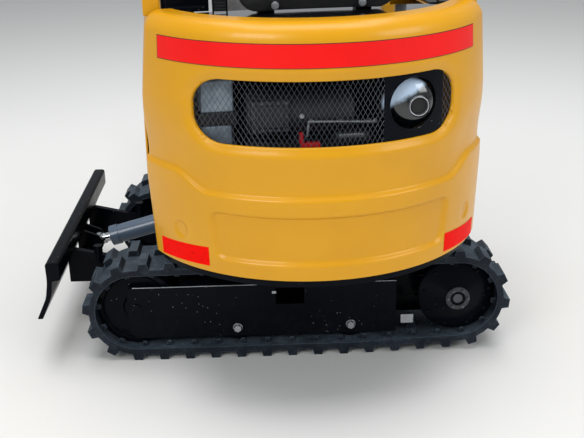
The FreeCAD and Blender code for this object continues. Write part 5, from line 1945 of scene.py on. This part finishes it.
@dataclass
class FrontEnd:
    """The lamp's lens and the heads of the pins at the swing post, the boom and the arm."""

    lamp: tuple[float, float] = (0.7465, 0.806)
    lens_x: tuple[float, float] = (-0.136, -0.072)
    lens_half: float = 0.031
    # Share of the radius and height of each point of a head's outline
    head: tuple[tuple[float, float], ...] = (
        (0.0, -0.001), (0.86, -0.001), (0.86, 0.0014), (0.42, 0.0014), (0.34, 0.0045), (0.0, 0.0045))
    # Body, Y, Z, half length and radius
    pins: tuple[tuple[str, float, float, float, float], ...] = (
        ("swing_post", 0.470, 0.430, 0.0865, 0.017), ("boom", 1.479, 1.080, 0.056, 0.017),
        ("arm", 1.380, 0.290, 0.060, 0.016), ("arm", 1.416, 0.416, 0.056, 0.013))

    def build(self) -> None:
        """Builds the small pieces."""
        y, z = self.lamp
        low, high, (x0, x1) = z - self.lens_half, z + self.lens_half, self.lens_x
        lens = Bench.block("lamp_lens", (x0, y - 0.002, low), (x1, y + 0.002, high))
        Fitter.fit(Bench.soften(lens, 0.0012, 3), "boom", Look.LENS)
        for number, (body, y, z, reach, radius) in enumerate(self.pins):
            profile = [(radius * share, level) for share, level in self.head]
            made = [Bench.turned("pin", profile, (side * reach, y, z), (side, 0, 0), 32) for side in (-1, 1)]
            piece = Bench.join(f"pin_ends_{number + 1}", made)
            Fitter.fit(Bench.soften(piece, 0.0006, 1), body, Look.ZINC)


@dataclass
class Studio:
    """Camera, floor and lights."""

    place: Point = (-0.3844, -2.7912, 1.3306)
    ahead: Point = (0.1276, 0.9257, -0.356)
    right: Point = (0.9895, -0.1433, -0.0181)
    lens: float = 58.44
    sensor: float = 36.0
    air: float = 0.42
    # Name, place, target, width and height, and power in watts
    lamps: tuple[tuple[str, Point, Point, tuple[float, float], float], ...] = (
        ("sky", (0.0, 0.0, 5.5), (0.0, 0.0, 0.0), (5.0, 5.0), 370.0),
        ("key", (-3.2, -4.2, 3.4), (0.0, -0.4, 0.6), (2.6, 1.8), 115.0),
        ("fill", (3.6, -3.2, 2.4), (0.0, -0.4, 0.6), (2.4, 1.8), 60.0))

    def camera(self) -> None:
        """Sets the camera at the photograph's angle."""
        forward = Vector(self.ahead).normalized()
        side = (Vector(self.right) - forward * forward.dot(Vector(self.right))).normalized()
        up = side.cross(forward)
        data = bpy.data.cameras.new("camera")
        data.lens = self.lens
        data.sensor_width = self.sensor
        camera = bpy.data.objects.new("camera", data)
        turned = Matrix((side, up, -forward)).transposed().to_4x4()
        camera.matrix_world = Matrix.Translation(self.place) @ turned
        bpy.context.scene.collection.objects.link(camera)
        bpy.context.scene.camera = camera

    def floor(self) -> None:
        """Lays the plain pale floor."""
        bpy.ops.object.select_all(action="DESELECT")
        bpy.ops.mesh.primitive_plane_add(size=40, location=(0, 0, 0))
        floor = bpy.context.view_layer.objects.active
        floor.name = "studio_floor"
        graph = Graph("studio floor")
        graph.dress(Base_Color=srgb(214, 214, 212), Roughness=0.85)
        floor.data.materials.append(graph.material)

    def lamp(self, name: str, place: Point, target: Point, size: tuple[float, float], power: float) -> None:
        """Hangs one soft lamp.

        Args:
            name: The lamp's name.
            place: Where it hangs.
            target: What it points at.
            size: Its width and height.
            power: Its power in watts.
        """
        data = bpy.data.lights.new(name, "AREA")
        data.shape = "RECTANGLE"
        data.size, data.size_y = size
        data.energy = power
        lamp = bpy.data.objects.new(name, data)
        way = Vector(target) - Vector(place)
        lamp.rotation_euler = way.to_track_quat("-Z", "Y").to_euler()
        lamp.location = place
        bpy.context.scene.collection.objects.link(lamp)

    def light(self) -> None:
        """Lights the room softly, as an overcast sky does."""
        world = bpy.data.worlds.new("studio")
        world.use_nodes = True
        back = world.node_tree.nodes["Background"]
        back.inputs["Color"].default_value = (0.92, 0.96, 1.0, 1.0)
        back.inputs["Strength"].default_value = self.air
        bpy.context.scene.world = world
        for lamp in self.lamps:
            self.lamp(*lamp)

    def build(self) -> None:
        """Sets the studio up."""
        self.camera()
        self.floor()
        self.light()
        scene = bpy.context.scene
        scene.view_settings.view_transform = "Standard"


# Nodes whose shape stays, with their finish and the width of their rounded edges in millimetres
HARD_NODES: tuple[tuple[str, Finish, float], ...] = (
    ("track_left", Look.TRACK, 2.0),
    ("track_right", Look.TRACK, 2.0),
    ("sprockets", Look.BLACK, 1.5),
    ("idlers", Look.BLACK, 1.5),
    ("track_rollers", Look.BLACK, 1.5),
    ("track_frame_left", Look.BLACK, 3.0),
    ("track_frame_right", Look.BLACK, 3.0),
    ("travel_motors", Look.BLACK_PLAIN, 1.5),
    ("car_body", Look.BLACK, 2.0),
    ("dozer_blade", Look.BLACK, 2.0),
    ("blade_arms", Look.BLACK, 2.0),
    ("blade_barrel", Look.BARREL, 1.0),
    ("blade_rod", Look.CHROME, 0.8),
    ("turntable", Look.BLACK, 2.0),
    ("engine", Look.ENGINE, 4.0),
    ("radiator", Look.RADIATOR, 2.0),
    ("muffler", Look.BLACK, 2.0),
    ("counterweight", Look.WEIGHT, 5.0),
    ("seat_platform", Look.BLACK, 2.0),
    ("side_cover_left", Look.YELLOW, 6.0),
    ("side_cover_right", Look.YELLOW, 6.0),
    ("seat_base", Look.PLASTIC, 4.0),
    ("console_left", Look.PLASTIC, 4.0),
    ("console_right", Look.PLASTIC, 4.0),
    ("travel_levers", Look.BLACK_PLAIN, 1.0),
    ("floor", Look.MATTING, 1.5),
    ("canopy_posts", Look.YELLOW, 3.0),
    ("canopy_rails", Look.BLACK_PLAIN, 2.5),
    ("canopy_roof", Look.YELLOW, 0.0),
    ("swing_post", Look.YELLOW, 2.5),
    ("swing_barrel", Look.BARREL, 1.0),
    ("swing_rod", Look.CHROME, 0.8),
    ("boom", Look.YELLOW, 3.0),
    ("boom_barrel", Look.BARREL, 1.0),
    ("boom_rod", Look.CHROME, 0.8),
    ("lamp", Look.LAMP, 2.0),
    ("arm", Look.YELLOW, 3.0),
    ("arm_barrel", Look.BARREL, 1.0),
    ("arm_rod", Look.CHROME, 0.8),
    ("bucket", Look.BUCKET, 1.5),
    ("bucket_link", Look.BUCKET, 2.0),
    ("tipping_link", Look.BUCKET, 2.0),
    ("bucket_barrel", Look.BARREL, 1.0),
    ("bucket_rod", Look.CHROME, 0.8),
)


def main() -> None:
    """Builds the machine's looks, one sub-assembly after the other."""
    logging.basicConfig(level=logging.INFO, format="%(name)s: %(message)s")
    Studio().build()
    for name, finish, width in HARD_NODES:
        Fitter.softened(name, finish, width / 1000)
    Bonnet().build()
    Grille().build()
    Silencer().build()
    EngineBay().build()
    RearDeck().build()
    Seat().build()
    TrackSide().build()
    CoreTips().build()
    Controls().build()
    FrontEnd().build()


if __name__ == "__main__":
    main()
